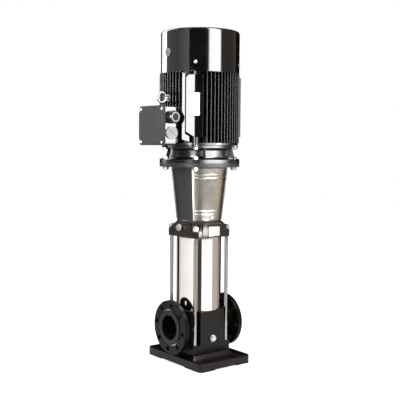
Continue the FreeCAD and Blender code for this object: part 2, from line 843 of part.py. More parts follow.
# Chamber stack

def stage_z(stage):
    return STACK_Z + stage * STAGE_PITCH


def suction_inlet():
    low = TOWER_TOP_Z
    throat = CHAMBER_EYE_R
    outline = [
        (throat + INLET_PLATE, low),
        (PARTITION_R, low),
        (PARTITION_R, low + INLET_PLATE / 2),
        (CHAMBER_R, low + INLET_PLATE / 2),
        (CHAMBER_R, low + INLET_PLATE),
        (throat, low + INLET_PLATE),
    ]
    return turned(outline)


def stage_chamber(stage):
    """Cup with an eye in its floor and curved return vanes round a hub."""
    z = stage_z(stage)
    wall = ring(CHAMBER_R, CHAMBER_R - CHAMBER_WALL, STAGE_PITCH, Vector(0, 0, z))
    floor = ring(CHAMBER_R, CHAMBER_EYE_R, CHAMBER_WALL, Vector(0, 0, z))
    vane_z = z + STAGE_PITCH - RETURN_VANE_WIDTH
    hub_bore = bush_outer_r() + RUNNING_GAP
    hub = ring(VANE_HUB_R, hub_bore, RETURN_VANE_WIDTH, Vector(0, 0, vane_z))
    vane = curved_blade(
        VANE_HUB_R - MERGE,
        CHAMBER_R - CHAMBER_WALL + MERGE,
        -VANE_SWEEP,
        VANE_THICKNESS,
        vane_z,
        RETURN_VANE_WIDTH,
    )
    return fused([wall, floor, hub] + evenly(vane, RETURN_VANES))


def spacer_r():
    return PUMP_SHAFT_R + RUNNING_GAP + SPACER_WALL


def bush_outer_r():
    return spacer_r() + BODY_GAP / 2 + BUSH_WALL


def bearing_bushes():
    bushes = []
    for stage in range(STAGES):
        base = Vector(0, 0, stage_z(stage) + STAGE_PITCH - RETURN_VANE_WIDTH)
        inner = spacer_r() + BODY_GAP / 2
        bushes.append(ring(bush_outer_r(), inner, RETURN_VANE_WIDTH, base))
    return bushes


def neck_rings():
    rings = []
    outer = CHAMBER_EYE_R - RUNNING_GAP
    for stage in range(STAGES):
        base = Vector(0, 0, stage_z(stage))
        rings.append(ring(outer, outer - NECK_RING_WALL, CHAMBER_WALL, base))
    return rings


def chamber_cap():
    """Last chamber: windows let the water out into the gap round the stack."""
    wall = ring(CHAMBER_R, CHAMBER_R - CAP_WALL, CAP_HEIGHT, Vector(0, 0, CAP_Z))
    top = rod(CHAMBER_R, CAP_WALL, Vector(0, 0, HEAD_ROOF_Z - CAP_WALL))
    cap = wall.fuse(top)
    cap = cap.cut(rod(spacer_r() + CAP_SHAFT_GAP, CAP_HEIGHT, Vector(0, 0, CAP_Z)))
    w = CAP_WINDOW_WIDTH / 2
    level = CAP_Z + CAP_HEIGHT / 2
    h = CAP_WINDOW_HEIGHT / 2
    window = block(CHAMBER_R - 2 * CAP_WALL, CHAMBER_R, -w, w, level - h, level + h)
    return cap.cut(evenly(window, CAP_WINDOWS))


# Shaft and impellers

def impeller(stage):
    z = stage_z(stage)
    eye = IMPELLER_NECK_R - IMPELLER_NECK_WALL
    low = z + CHAMBER_WALL + IMPELLER_LIFT / 2
    disc = IMPELLER_DISC
    back = low + IMPELLER_WIDTH
    front_shroud = turned([
        (eye, z),
        (IMPELLER_NECK_R, z),
        (IMPELLER_NECK_R, low),
        (IMPELLER_R, low + IMPELLER_LIFT),
        (IMPELLER_R, low + IMPELLER_LIFT + disc),
        (eye, low + disc),
    ])
    bore = PUMP_SHAFT_R + RUNNING_GAP
    hub_top = low + IMPELLER_HUB_HEIGHT
    back_shroud = turned([
        (bore, low),
        (bore + disc, low),
        (IMPELLER_HUB_R, back - disc),
        (IMPELLER_R, back - disc),
        (IMPELLER_R, back),
        (IMPELLER_HUB_R, back),
        (IMPELLER_HUB_R, hub_top),
        (bore, hub_top),
    ])
    blade_z = low + IMPELLER_LIFT + disc / 2
    blade = curved_blade(
        eye, IMPELLER_R - MERGE, IMPELLER_SWEEP, VANE_THICKNESS, blade_z, back - disc / 2 - blade_z
    )
    return fused([front_shroud, back_shroud] + evenly(blade, IMPELLER_BLADES))


def impeller_hub_z(stage):
    return stage_z(stage) + CHAMBER_WALL + IMPELLER_LIFT / 2


def impeller_hub_top(stage):
    return impeller_hub_z(stage) + IMPELLER_HUB_HEIGHT


def shaft_spacers():
    """Tubes between the impeller hubs, and one up to the seal."""
    spacers = []
    inner = PUMP_SHAFT_R + RUNNING_GAP
    for stage in range(STAGES):
        low = impeller_hub_top(stage)
        high = impeller_hub_z(stage + 1) if stage + 1 < STAGES else seal_head_z()
        spacers.append(ring(spacer_r(), inner, high - low, Vector(0, 0, low)))
    return spacers


def impeller_nut():
    base = Vector(0, 0, impeller_hub_z(0) - IMPELLER_NUT_HEIGHT)
    nut = hex_nut(IMPELLER_NUT_HEX, IMPELLER_NUT_HEIGHT, base)
    return nut.cut(rod(PUMP_SHAFT_R + RUNNING_GAP, IMPELLER_NUT_HEIGHT, base))


def pump_shaft():
    bottom = impeller_hub_z(0) - IMPELLER_NUT_HEIGHT - SHAFT_BELOW_NUT
    return rod(PUMP_SHAFT_R, PUMP_SHAFT_TOP_Z - bottom, Vector(0, 0, bottom))


# Pump head and seal

def head_prism(size, corner, z_low, z_high):
    points = cut_corner_outline(size, corner, z_low)
    return polygon_face(points).extrude(Vector(0, 0, z_high - z_low))


def pump_head():
    lug = head_prism(HEAD_SIZE, HEAD_CORNER, HEAD_Z, HEAD_LUG_Z)
    low = cut_corner_outline(HEAD_SIZE, HEAD_CORNER, HEAD_LUG_Z)
    high = cut_corner_outline(HEAD_TOP_SIZE, HEAD_TOP_CORNER, HEAD_TOP_Z)
    dome = frustum(low, high)
    front = HEAD_SIZE / 2 + HEAD_PAD_OUT
    w = HEAD_PAD_WIDTH / 2
    pad = block(-w, w, -front, 0, HEAD_Z + HEAD_PAD_BOTTOM, HEAD_TOP_Z - HEAD_PAD_TOP)
    fill_base, fill_axis = fill_seat()
    boss = rod(FILL_BOSS_R, FILL_BOSS_X - HEAD_BORE_R, fill_base, -fill_axis)
    spigot = rod(SPIGOT_R, SPIGOT_HEIGHT, Vector(0, 0, HEAD_Z - SPIGOT_HEIGHT))
    body = lug.multiFuse([dome, pad, boss, spigot])
    holes = []
    pocket = rod(HEAD_POCKET_R, HEAD_HEIGHT, Vector(0, 0, HEAD_LUG_Z))
    holes += at_corners(pocket, ROD_OFFSET, ROD_OFFSET)
    rod_hole = rod(ROD_R + FREE_GAP, HEAD_HEIGHT, Vector(0, 0, HEAD_Z))
    holes += at_corners(rod_hole, ROD_OFFSET, ROD_OFFSET)
    holes.append(rod(OUTLET_R, SPIGOT_HEIGHT + HEAD_ROOF, Vector(0, 0, HEAD_Z - SPIGOT_HEIGHT)))
    holes.append(rod(HEAD_BORE_R, HEAD_HEIGHT, Vector(0, 0, HEAD_Z)))
    holes.append(oring_groove(oring_level_high()))
    holes.append(plug_hole(fill_base, -fill_axis, FILL_BOSS_X - HEAD_BORE_R))
    screw = rod(STOOL_SCREW_R + FIT_GAP, STOOL_SCREW_DEPTH, Vector(0, 0, HEAD_TOP_Z), DOWN)
    screw.translate(Vector(STOOL_SCREW_CIRCLE_R, 0, 0))
    holes += around(screw, DIAGONAL_ANGLES)
    return body.cut(holes).removeSplitter()


def head_plate():
    """Bare plate on the front pad of the head."""
    y = HEAD_SIZE / 2 + HEAD_PAD_OUT
    pad_low = HEAD_Z + HEAD_PAD_BOTTOM
    pad_high = HEAD_TOP_Z - HEAD_PAD_TOP
    level = (pad_low + pad_high) / 2 - HEAD_PAD_BOTTOM
    plate = rounded_prism(
        HEAD_PLATE_WIDTH, HEAD_PLATE_HEIGHT, HEAD_PLATE_CORNER_R, 0, HEAD_PLATE_THICKNESS
    )
    plate.rotate(Vector(0, 0, 0), Vector(1, 0, 0), 90)
    return moved(plate, Vector(0, -y, level))


def seal_seat_z():
    return HEAD_TOP_Z - SEAL_COVER_DEPTH


def seal_head_z():
    return seal_seat_z() - SEAL_HEAD_HEIGHT - FIT_GAP


def seal_cover():
    bottom = seal_seat_z()
    top = HEAD_TOP_Z + SEAL_COVER_THICKNESS
    seat_r = SEAL_SEAT_R + RUNNING_GAP
    shaft_hole = PUMP_SHAFT_R + SEAL_COVER_GAP
    return turned([
        (seat_r, bottom),
        (HEAD_BORE_R - FIT_GAP, bottom),
        (HEAD_BORE_R - FIT_GAP, HEAD_TOP_Z),
        (SEAL_COVER_R, HEAD_TOP_Z),
        (SEAL_COVER_R, top),
        (shaft_hole, top),
        (shaft_hole, bottom + SEAL_SEAT_HEIGHT),
        (seat_r, bottom + SEAL_SEAT_HEIGHT),
    ])


def seal_seat():
    inner = PUMP_SHAFT_R + SEAL_SEAT_GAP
    return ring(SEAL_SEAT_R, inner, SEAL_SEAT_HEIGHT, Vector(0, 0, seal_seat_z()))


def seal_head():
    """Rotating half of the shaft seal: holder, spring collar and seal ring."""
    z = seal_head_z()
    bore = PUMP_SHAFT_R + RUNNING_GAP
    top = z + SEAL_HEAD_HEIGHT
    holder = z + SEAL_HOLDER_HEIGHT
    waist_r = SEAL_HEAD_R - SEAL_WAIST_DEPTH
    waist_low = holder + SEAL_WAIST_SLOPE
    waist_high = waist_low + SEAL_WAIST_HEIGHT
    return turned([
        (bore, z),
        (SEAL_HEAD_R, z),
        (SEAL_HEAD_R, holder),
        (waist_r, waist_low),
        (waist_r, waist_high),
        (SEAL_HEAD_R, waist_high + SEAL_WAIST_SLOPE),
        (SEAL_HEAD_R, top),
        (bore, top),
    ])


# Motor stool, guards

def stool_outer_r(z):
    """Radius of the outside of the conical stool wall at a level."""
    low = HEAD_TOP_Z + STOOL_FOOT
    high = STOOL_TOP_Z - STOOL_FLANGE
    return STOOL_BOTTOM_R + (STOOL_TOP_R - STOOL_BOTTOM_R) * (z - low) / (high - low)


def stool_slope():
    rise = STOOL_TOP_Z - STOOL_FLANGE - HEAD_TOP_Z - STOOL_FOOT
    return math.degrees(math.atan((STOOL_TOP_R - STOOL_BOTTOM_R) / rise))


def motor_stool():
    foot_top = HEAD_TOP_Z + STOOL_FOOT
    flange_z = STOOL_TOP_Z - STOOL_FLANGE
    recess = MOTOR_SPIGOT + FREE_GAP
    spigot_r = MOTOR_SPIGOT_R + FIT_GAP
    body = turned([
        (STOOL_FOOT_BORE_R, HEAD_TOP_Z),
        (STOOL_FOOT_R, HEAD_TOP_Z),
        (STOOL_FOOT_R, foot_top - EDGE_BREAK),
        (STOOL_BOTTOM_R, foot_top),
        (STOOL_TOP_R, flange_z),
        (MOTOR_FLANGE_R, flange_z),
        (MOTOR_FLANGE_R, STOOL_TOP_Z),
        (spigot_r, STOOL_TOP_Z),
        (spigot_r, STOOL_TOP_Z - recess),
        (STOOL_TOP_R - STOOL_WALL, STOOL_TOP_Z - recess),
        (STOOL_TOP_R - STOOL_WALL, flange_z),
        (STOOL_BOTTOM_R - STOOL_WALL, foot_top),
        (STOOL_FOOT_BORE_R, foot_top),
    ])
    low = foot_top + STOOL_LOWER_RING
    high = flange_z - STOOL_UPPER_RING
    reach = STOOL_TOP_R + WINDOW_REACH
    half = reach * math.tan(math.radians(STOOL_WINDOW_ANGLE))
    wedge = polygon_face([
        Vector(0, 0, low), Vector(half, -reach, low), Vector(-half, -reach, low)
    ]).extrude(Vector(0, 0, high - low))
    holes = around(wedge, (0, 180))
    bolt = rod(MOTOR_BOLT_HOLE_R, STOOL_FLANGE, Vector(MOTOR_FLANGE_PCD / 2, 0, flange_z))
    holes += around(bolt, DIAGONAL_ANGLES)
    base = Vector(STOOL_SCREW_CIRCLE_R, 0, HEAD_TOP_Z)
    holes += around(rod(STOOL_SCREW_R + FIT_GAP, STOOL_FOOT, base), DIAGONAL_ANGLES)
    depth = GUARD_SCREW_LENGTH + HOLE_RUNOUT
    for level in guard_screw_levels():
        hole = on_stool_surface(rod(GUARD_SCREW_R + FIT_GAP, depth, Vector(0, 0, 0), DOWN), level)
        holes += around(hole, (0, 180))
    return body.cut(holes).removeSplitter()


def on_stool_surface(shape, z):
    """Turn a piece made along +Z to stand out of the front of the stool wall."""
    placed = shape.copy()
    placed.rotate(Vector(0, 0, 0), Vector(1, 0, 0), 90 + stool_slope())
    placed.translate(Vector(0, -stool_outer_r(z), z))
    return placed


def stool_screws():
    x = STOOL_SCREW_CIRCLE_R
    seat = HEAD_TOP_Z + STOOL_FOOT
    length = STOOL_FOOT + STOOL_SCREW_DEPTH - HOLE_RUNOUT
    shank = rod(STOOL_SCREW_R, length, Vector(x, 0, seat), DOWN)
    head = rod(STOOL_SCREW_HEAD_R, STOOL_SCREW_HEAD, Vector(x, 0, seat))
    middle = Vector(x, 0, seat + STOOL_SCREW_HEAD / 2)
    socket = hexagon(STOOL_SCREW_SOCKET, STOOL_SCREW_HEAD / 2, middle)
    return around(shank.fuse(head).cut(socket), DIAGONAL_ANGLES)


def guard_ends():
    foot_top = HEAD_TOP_Z
    return foot_top + GUARD_LOWER, STOOL_TOP_Z - GUARD_UPPER


def guard_screw_levels():
    low, high = guard_ends()
    low = max(low, HEAD_TOP_Z + STOOL_FOOT)
    return low + GUARD_SCREW_EDGE, high - GUARD_SCREW_EDGE + GUARD_SCREW_RAISE


def guard_point(z, out):
    return Vector(stool_outer_r(z) + out, 0, z)


def guard_side(z_low, z_high, out, beads):
    """Edges up one side of the sheet, each bead an arc."""
    half = GUARD_BEAD_WIDTH / 2
    edges = []
    start = guard_point(z_low, out)
    for level in beads:
        first = guard_point(level - half, out)
        crest = guard_point(level, out + GUARD_BEAD)
        last = guard_point(level + half, out)
        edges.append(Part.makeLine(start, first))
        edges.append(Part.Arc(first, crest, last).toShape())
        start = last
    edges.append(Part.makeLine(start, guard_point(z_high, out)))
    return edges


def guard_strip(z_low, z_high, inset, thickness, sweep, beads=()):
    """Part of a cone that follows the stool, with pressed beads round it."""
    outset = inset + thickness
    edges = guard_side(z_low, z_high, inset, beads) + guard_side(z_low, z_high, outset, beads)
    for z in (z_low, z_high):
        edges.append(Part.makeLine(guard_point(z, inset), guard_point(z, outset)))
    face = Part.Face(Part.Wire(Part.__sortEdges__(edges)))
    strip = face.revolve(Vector(0, 0, 0), UP, sweep)
    return rotated(strip, -90 - sweep / 2)


def coupling_guard(turn):
    low, high = guard_ends()
    low = max(low, HEAD_TOP_Z + STOOL_FOOT + FREE_GAP)
    first = low + GUARD_BEAD_EDGE
    last = high - GUARD_BEAD_EDGE
    beads = (first, first + GUARD_BEAD_PITCH, last - GUARD_BEAD_PITCH, last)
    sheet = guard_strip(low, high, FIT_GAP, GUARD_SHEET, 2 * GUARD_ANGLE, beads)
    edge = guard_strip(low, high, FIT_GAP, GUARD_SHEET + GUARD_FOLD, GUARD_FOLD_ANGLE)
    lean = GUARD_ANGLE - GUARD_FOLD_ANGLE / 2
    guard = fused([sheet, rotated(edge, lean), rotated(edge, -lean)])
    for level in guard_screw_levels():
        hole = rod(GUARD_SCREW_R + FIT_GAP, 4 * GUARD_SHEET, Vector(0, 0, -GUARD_SHEET))
        guard = guard.cut(on_stool_surface(hole, level))
    return rotated(guard, turn)


def guard_screws():
    screws = []
    seat = FIT_GAP + GUARD_SHEET
    shank = rod(GUARD_SCREW_R, GUARD_SCREW_LENGTH + seat, Vector(0, 0, seat), DOWN)
    head = rod(GUARD_SCREW_HEAD_R, GUARD_SCREW_HEAD, Vector(0, 0, seat + FIT_GAP))
    neck = rod(GUARD_SCREW_R, FIT_GAP, Vector(0, 0, seat))
    screw = fused([shank, neck, head])
    for level in guard_screw_levels():
        screws += around(on_stool_surface(screw, level), (0, 180))
    return screws


# Coupling and motor shaft

def coupling_halves():
    z = COUPLING_Z
    body = bevelled(rod(COUPLING_R, COUPLING_LENGTH, Vector(0, 0, z)), COUPLING_BEVEL)
    pump_bore = rod(PUMP_SHAFT_R + RUNNING_GAP, COUPLING_LENGTH, Vector(0, 0, z))
    motor_length = z + COUPLING_LENGTH - MOTOR_SHAFT_END_Z + SHAFT_END_GAP
    motor_bore = rod(
        MOTOR_SHAFT_R + RUNNING_GAP, motor_length, Vector(0, 0, MOTOR_SHAFT_END_Z - SHAFT_END_GAP)
    )
    slit = block(
        -COUPLING_SPLIT / 2, COUPLING_SPLIT / 2, -COUPLING_R, COUPLING_R, z, z + COUPLING_LENGTH
    )
    holes = [pump_bore, motor_bore, slit]
    seat = COUPLING_BOLT_SPAN / 2
    for level in coupling_bolt_levels():
        for side in (-1, 1):
            centre = Vector(-COUPLING_R, side * COUPLING_BOLT_Y, level)
            holes.append(rod(COUPLING_BOLT_R + FIT_GAP, 2 * COUPLING_R, centre, Vector(1, 0, 0)))
            for end in (-1, 1):
                start = Vector(end * seat, side * COUPLING_BOLT_Y, level)
                holes.append(rod(COUPLING_BOLT_HEAD_R + MERGE, COUPLING_R, start, Vector(end, 0, 0)))
    return body.cut(holes).Solids


def coupling_bolt_levels():
    return (COUPLING_Z + COUPLING_BOLT_LEVEL,
            COUPLING_Z + COUPLING_LENGTH - COUPLING_BOLT_LEVEL)


def coupling_screws():
    screws = []
    seat = COUPLING_BOLT_SPAN / 2
    for level in coupling_bolt_levels():
        for side in (-1, 1):
            left = Vector(-seat, side * COUPLING_BOLT_Y, level)
            right = Vector(seat, side * COUPLING_BOLT_Y, level)
            shank = rod(COUPLING_BOLT_R, 2 * seat, left, Vector(1, 0, 0))
            head = rod(COUPLING_BOLT_HEAD_R, COUPLING_BOLT_R, right, Vector(1, 0, 0))
            nut = hex_head(COUPLING_NUT_HEX, COUPLING_BOLT_R, left, Vector(-1, 0, 0))
            screws.append(fused([shank, head, nut]))
    return screws


def fan_seat_r():
    return BEARING_INNER_R - EDGE_BREAK


def motor_shaft():
    """Stepped shaft: coupling end, two bearing seats, rotor seat, fan end."""
    low_seat = LOWER_BEARING_Z
    rotor_low = low_seat + BEARING_WIDTH
    rotor_high = UPPER_BEARING_Z
    fan_top = FRAME_TOP_Z + FAN_LEVEL + FAN_HEIGHT - SHAFT_BELOW_FAN
    return turned([
        (0, MOTOR_SHAFT_END_Z),
        (MOTOR_SHAFT_R - EDGE_BREAK, MOTOR_SHAFT_END_Z),
        (MOTOR_SHAFT_R, MOTOR_SHAFT_END_Z + EDGE_BREAK),
        (MOTOR_SHAFT_R, low_seat),
        (BEARING_INNER_R, low_seat),
        (BEARING_INNER_R, rotor_low),
        (ROTOR_SHAFT_R, rotor_low),
        (ROTOR_SHAFT_R, rotor_high),
        (BEARING_INNER_R, rotor_high),
        (BEARING_INNER_R, rotor_high + BEARING_WIDTH),
        (fan_seat_r(), rotor_high + BEARING_WIDTH),
        (fan_seat_r(), fan_top),
        (0, fan_top),
    ])


# Drive-end shield, bearings

def drive_end_shield():
    z = STOOL_TOP_Z
    flange_top = z + MOTOR_FLANGE
    rim_z = FRAME_Z - SHIELD_RIM_HEIGHT
    band_z = FRAME_Z - SHIELD_BAND
    cavity_z = FRAME_Z - SHIELD_CAVITY
    spigot_r = BARREL_R - BARREL_WALL - FIT_GAP
    bearing_r = BEARING_OUTER_R + RUNNING_GAP
    shaft_hole = MOTOR_SHAFT_R + HOLE_RUNOUT
    spigot_z = FRAME_Z + SHIELD_SPIGOT
    ledge_z = LOWER_BEARING_Z - BEARING_LEDGE
    body = turned([
        (shaft_hole, z - MOTOR_SPIGOT),
        (MOTOR_SPIGOT_R, z - MOTOR_SPIGOT),
        (MOTOR_SPIGOT_R, z),
        (MOTOR_FLANGE_R, z),
        (MOTOR_FLANGE_R, flange_top - EDGE_BREAK),
        (MOTOR_FLANGE_R - EDGE_BREAK, flange_top),
        (SHIELD_NECK_R, flange_top),
        (SHIELD_NECK_R, rim_z - SHIELD_RIM_FLARE),
        (SHIELD_RIM_R, rim_z),
        (SHIELD_RIM_R, band_z),
        (SHIELD_BAND_R, band_z + EDGE_BREAK),
        (SHIELD_BAND_R, FRAME_Z),
        (spigot_r, FRAME_Z),
        (spigot_r, spigot_z),
        (SHIELD_CAVITY_R, spigot_z),
        (SHIELD_CAVITY_R, cavity_z),
        (bearing_r, cavity_z),
        (bearing_r, LOWER_BEARING_Z),
        (BEARING_SHOULDER_R, LOWER_BEARING_Z),
        (BEARING_SHOULDER_R, ledge_z),
        (shaft_hole, ledge_z),
    ])
    body = rounded_at(body, SHIELD_FOOT_R, SHIELD_NECK_R, flange_top)
    body = rounded_at(body, SHIELD_RIM_EDGE_R, SHIELD_RIM_R, rim_z)
    t = SHIELD_RIB_THICKNESS / 2
    rib = polygon_face([
        Vector(SHIELD_NECK_R - SHIELD_RIB_THICKNESS, -t, flange_top),
        Vector(SHIELD_RIB_REACH, -t, flange_top),
        Vector(SHIELD_RIM_R - MERGE, -t, rim_z + SHIELD_RIM_EDGE_R),
        Vector(SHIELD_NECK_R - SHIELD_RIB_THICKNESS, -t, rim_z + SHIELD_RIM_EDGE_R),
    ]).extrude(Vector(0, 2 * t, 0))
    lug = screw_lug(FRAME_Z - SHIELD_LUG, SHIELD_LUG)
    body = body.multiFuse(evenly(rib, SHIELD_RIBS) + around(lug, DIAGONAL_ANGLES))
    bolt = rod(MOTOR_BOLT_HOLE_R, MOTOR_FLANGE, Vector(MOTOR_FLANGE_PCD / 2, 0, z))
    screw = rod(SHIELD_SCREW_R + FIT_GAP, 2 * SHIELD_LUG,
                Vector(SHIELD_SCREW_CIRCLE_R, 0, FRAME_Z), DOWN)
    bolt_spot = rod(MOTOR_BOLT_SPOT_R, 2 * MOTOR_BOLT_HEAD,
                    Vector(MOTOR_FLANGE_PCD / 2, 0, flange_top))
    screw_spot = rod(SHIELD_SCREW_SPOT_R, 2 * SHIELD_SCREW_HEAD,
                     Vector(SHIELD_SCREW_CIRCLE_R, 0, FRAME_Z - SHIELD_LUG), DOWN)
    holes = []
    for hole in (bolt, screw, bolt_spot, screw_spot):
        holes += around(hole, DIAGONAL_ANGLES)
    return body.cut(holes).removeSplitter()


def screw_lug(z, height):
    """Ear that stands out from the barrel round one shield screw."""
    eye = rod(SHIELD_LUG_R, height, Vector(SHIELD_SCREW_CIRCLE_R, 0, z))
    r = SHIELD_LUG_R
    web = block(BARREL_R - BARREL_WALL, SHIELD_SCREW_CIRCLE_R, -r, r, z, z + height)
    return eye.fuse(web)


def flange_bolts():
    x = MOTOR_FLANGE_PCD / 2
    seat = STOOL_TOP_Z + MOTOR_FLANGE
    length = MOTOR_FLANGE + STOOL_FLANGE + MOTOR_NUT_HEIGHT + MOTOR_BOLT_END
    shank = rod(MOTOR_BOLT_R, length, Vector(x, 0, seat), DOWN)
    head = hex_head(MOTOR_BOLT_HEX, MOTOR_BOLT_HEAD, Vector(x, 0, seat))
    return around(fused([shank, head]), DIAGONAL_ANGLES)


def flange_nuts():
    x = MOTOR_FLANGE_PCD / 2
    seat = Vector(x, 0, STOOL_TOP_Z - STOOL_FLANGE - MOTOR_NUT_HEIGHT)
    nut = hex_nut(MOTOR_BOLT_HEX, MOTOR_NUT_HEIGHT, seat)
    nut = nut.cut(rod(MOTOR_BOLT_R + FIT_GAP, MOTOR_NUT_HEIGHT, seat))
    return around(nut, DIAGONAL_ANGLES)


def shield_screws():
    x = SHIELD_SCREW_CIRCLE_R
    seat = Vector(x, 0, FRAME_Z - SHIELD_LUG)
    shank = rod(SHIELD_SCREW_R, SHIELD_LUG + FRAME_LUG - SHIELD_SCREW_SHORT, seat)
    head = hex_head(SHIELD_SCREW_HEX, SHIELD_SCREW_HEAD, seat, DOWN)
    return around(fused([shank, head]), DIAGONAL_ANGLES)


def bearing_outer_ring(z):
    """Outer ring with its two dust shields."""
    track = BEARING_OUTER_R - BEARING_RING_WALL
    inner = BEARING_INNER_R + BEARING_RING_WALL + BODY_GAP
    outer_ring = ring(BEARING_OUTER_R, track, BEARING_WIDTH, Vector(0, 0, z))
    sheet = BEARING_DUST_SHIELD
    low = ring(track + MERGE, inner, sheet, Vector(0, 0, z + sheet))
    high = ring(track + MERGE, inner, sheet, Vector(0, 0, z + BEARING_WIDTH - 2 * sheet))
    return fused([outer_ring, low, high])


def bearing_outer_rings():
    return [bearing_outer_ring(LOWER_BEARING_Z), bearing_outer_ring(UPPER_BEARING_Z)]


def bearing_inner_rings():
    outer = BEARING_INNER_R + BEARING_RING_WALL
    inner = BEARING_INNER_R + RUNNING_GAP / 2
    levels = (LOWER_BEARING_Z, UPPER_BEARING_Z)
    return [ring(outer, inner, BEARING_WIDTH, Vector(0, 0, z)) for z in levels]


# Motor frame

def fin(offset, reach):
    """Upright cooling fin that points to -Y at a sideways offset."""
    root = FIN_ROOT / 2
    tip = FIN_TIP / 2
    base_y = -math.sqrt(BARREL_R ** 2 - min(abs(offset) + root, BARREL_R) ** 2) + FIN_SINK
    points = [
        Vector(offset - root, base_y, FRAME_Z),
        Vector(offset + root, base_y, FRAME_Z),
        Vector(offset + tip, -reach, FRAME_Z),
        Vector(offset - tip, -reach, FRAME_Z),
    ]
    return polygon_face(points).extrude(Vector(0, 0, FRAME_LENGTH))


def fin_row(count):
    fins = []
    for i in range(count):
        offset = (i - (count - 1) / 2) * FIN_PITCH
        fins.append(fin(offset, math.sqrt(FIN_TIP_R ** 2 - offset ** 2)))
    return fins


def corner_pad():
    """Pad at the (-X, -Y) diagonal: an upright ridge between two flats."""
    low = FRAME_Z + PAD_LOWER
    high = FRAME_TOP_Z - PAD_UPPER
    p = PAD_RIDGE
    root = PAD_ROOT
    pad = polygon_face([
        Vector(-p, -p, low),
        Vector(-p + PAD_SHORT_FLAT, -p, low),
        Vector(-root, -root, low),
        Vector(-root, -p + PAD_LONG_FLAT, low),
        Vector(-p, -p + PAD_LONG_FLAT, low),
    ]).extrude(Vector(0, 0, high - low))
    cutter = block(0, 2 * p, -p, p, -p, 0)
    cutter.rotate(Vector(0, 0, 0), Vector(0, 1, 0), -PAD_SLOPE)
    cutter.rotate(Vector(0, 0, 0), UP, 45)
    return pad.cut(moved(cutter, Vector(-p, -p, low)))


def rating_boss():
    z = FRAME_Z + PLATE_BOSS_LEVEL
    h = PLATE_BOSS_HEIGHT / 2
    w = PLATE_BOSS_WIDTH / 2
    return rotated(block(-PLATE_BOSS_R, -BARREL_R, -w, w, z - h, z + h), 45)


def box_neck():
    w = BOX_NECK_WIDTH / 2
    low = BOX_BOTTOM_Z + BOX_NECK_LOWER
    return block(-BOX_BACK_X, 0, -w, w, low, low + BOX_NECK_HEIGHT)


def motor_frame():
    barrel = rod(BARREL_R, FRAME_LENGTH, Vector(0, 0, FRAME_Z))
    parts = []
    for fin_shape in fin_row(FRONT_FINS):
        parts += around(fin_shape, (0, 180))
    for fin_shape in fin_row(SIDE_FINS):
        parts += around(fin_shape, (90, 270))
    rib_low = -WIDE_RIB_Y - WIDE_RIB / 2
    rib_high = -WIDE_RIB_Y + WIDE_RIB / 2
    rib_root = -math.sqrt(BARREL_R ** 2 - rib_high ** 2) + 2 * BARREL_WALL
    rib = block(-WIDE_RIB_REACH, rib_root, rib_low, rib_high, FRAME_Z, FRAME_TOP_Z)
    ribs = [rib, rib.mirror(Vector(0, 0, 0), Vector(0, 1, 0))]
    pad = corner_pad()
    pads = [pad, pad.mirror(Vector(0, 0, 0), Vector(0, 1, 0))]
    for piece in ribs + pads:
        parts += [piece, mirrored_x(piece)]
    parts += around(screw_lug(FRAME_Z, FRAME_LUG), DIAGONAL_ANGLES)
    parts.append(rating_boss())
    boss = rod(EYE_BOSS_R, EYE_BOSS_X, Vector(0, 0, EYE_Z), Vector(-1, 0, 0))
    body = barrel.multiFuse(parts)
    clear_r = EYE_BOSS_R + EYE_SPACE
    eye_space = rod(clear_r, FIN_TIP_R, Vector(-BARREL_R, 0, EYE_Z), Vector(-1, 0, 0))
    half_box = BOX_WIDTH / 2 + BOX_SPACE
    box_top = BOX_TOP_Z + BOX_SPACE
    box_space = block(-FIN_TIP_R, -BARREL_R - EYE_SPACE, rib_high, -rib_high, FRAME_Z, box_top)
    body = body.cut([eye_space, box_space]).multiFuse([boss, box_neck()])
    clear = block(-2 * FIN_TIP_R, -BOX_BACK_X, -half_box, half_box, BOX_BOTTOM_Z, box_top)
    holes = [rod(BARREL_R - BARREL_WALL, FRAME_LENGTH, Vector(0, 0, FRAME_Z)), clear]
    screw_depth = FRAME_LUG - SHIELD_SCREW_SHORT + HOLE_RUNOUT
    screw = rod(SHIELD_SCREW_R + FIT_GAP, screw_depth, Vector(SHIELD_SCREW_CIRCLE_R, 0, FRAME_Z))
    holes += around(screw, DIAGONAL_ANGLES)
    eye_seat = Vector(-EYE_BOSS_X, 0, EYE_Z)
    holes.append(rod(EYE_SHANK_R + FIT_GAP, EYE_SHANK + HOLE_RUNOUT, eye_seat, Vector(1, 0, 0)))
    return body.cut(holes).removeSplitter()


def rating_plate():
    """Bare plate on the boss across the front ridge of the frame."""
    plate = rounded_prism(RATING_WIDTH, RATING_HEIGHT, RATING_CORNER_R, 0, RATING_THICKNESS)
    plate.rotate(Vector(0, 0, 0), Vector(1, 0, 0), 90)
    plate.rotate(Vector(0, 0, 0), UP, -45)
    place = polar(PLATE_BOSS_R, 225, FRAME_Z + PLATE_BOSS_LEVEL)
    return moved(plate, place)


def stator_core():
    base = Vector(0, 0, FRAME_Z + STATOR_LEVEL)
    return ring(BARREL_R - BARREL_WALL - RUNNING_GAP, STATOR_BORE_R, STATOR_LENGTH, base)


def stator_windings():
    low = FRAME_Z + STATOR_LEVEL - WINDING_OVERHANG
    high = FRAME_Z + STATOR_LEVEL + STATOR_LENGTH
    return [ring(WINDING_R, WINDING_INNER_R, WINDING_OVERHANG, Vector(0, 0, z))
            for z in (low, high)]


def rotor_core():
    low = FRAME_Z + STATOR_LEVEL
    high = low + STATOR_LENGTH
    bore = ROTOR_SHAFT_R + RUNNING_GAP
    rotor_r = STATOR_BORE_R - AIR_GAP
    return turned([
        (bore, low - END_RING),
        (END_RING_R, low - END_RING),
        (END_RING_R, low),
        (rotor_r, low),
        (rotor_r, high),
        (END_RING_R, high),
        (END_RING_R, high + END_RING),
        (bore, high + END_RING),
    ])


# Non-drive end

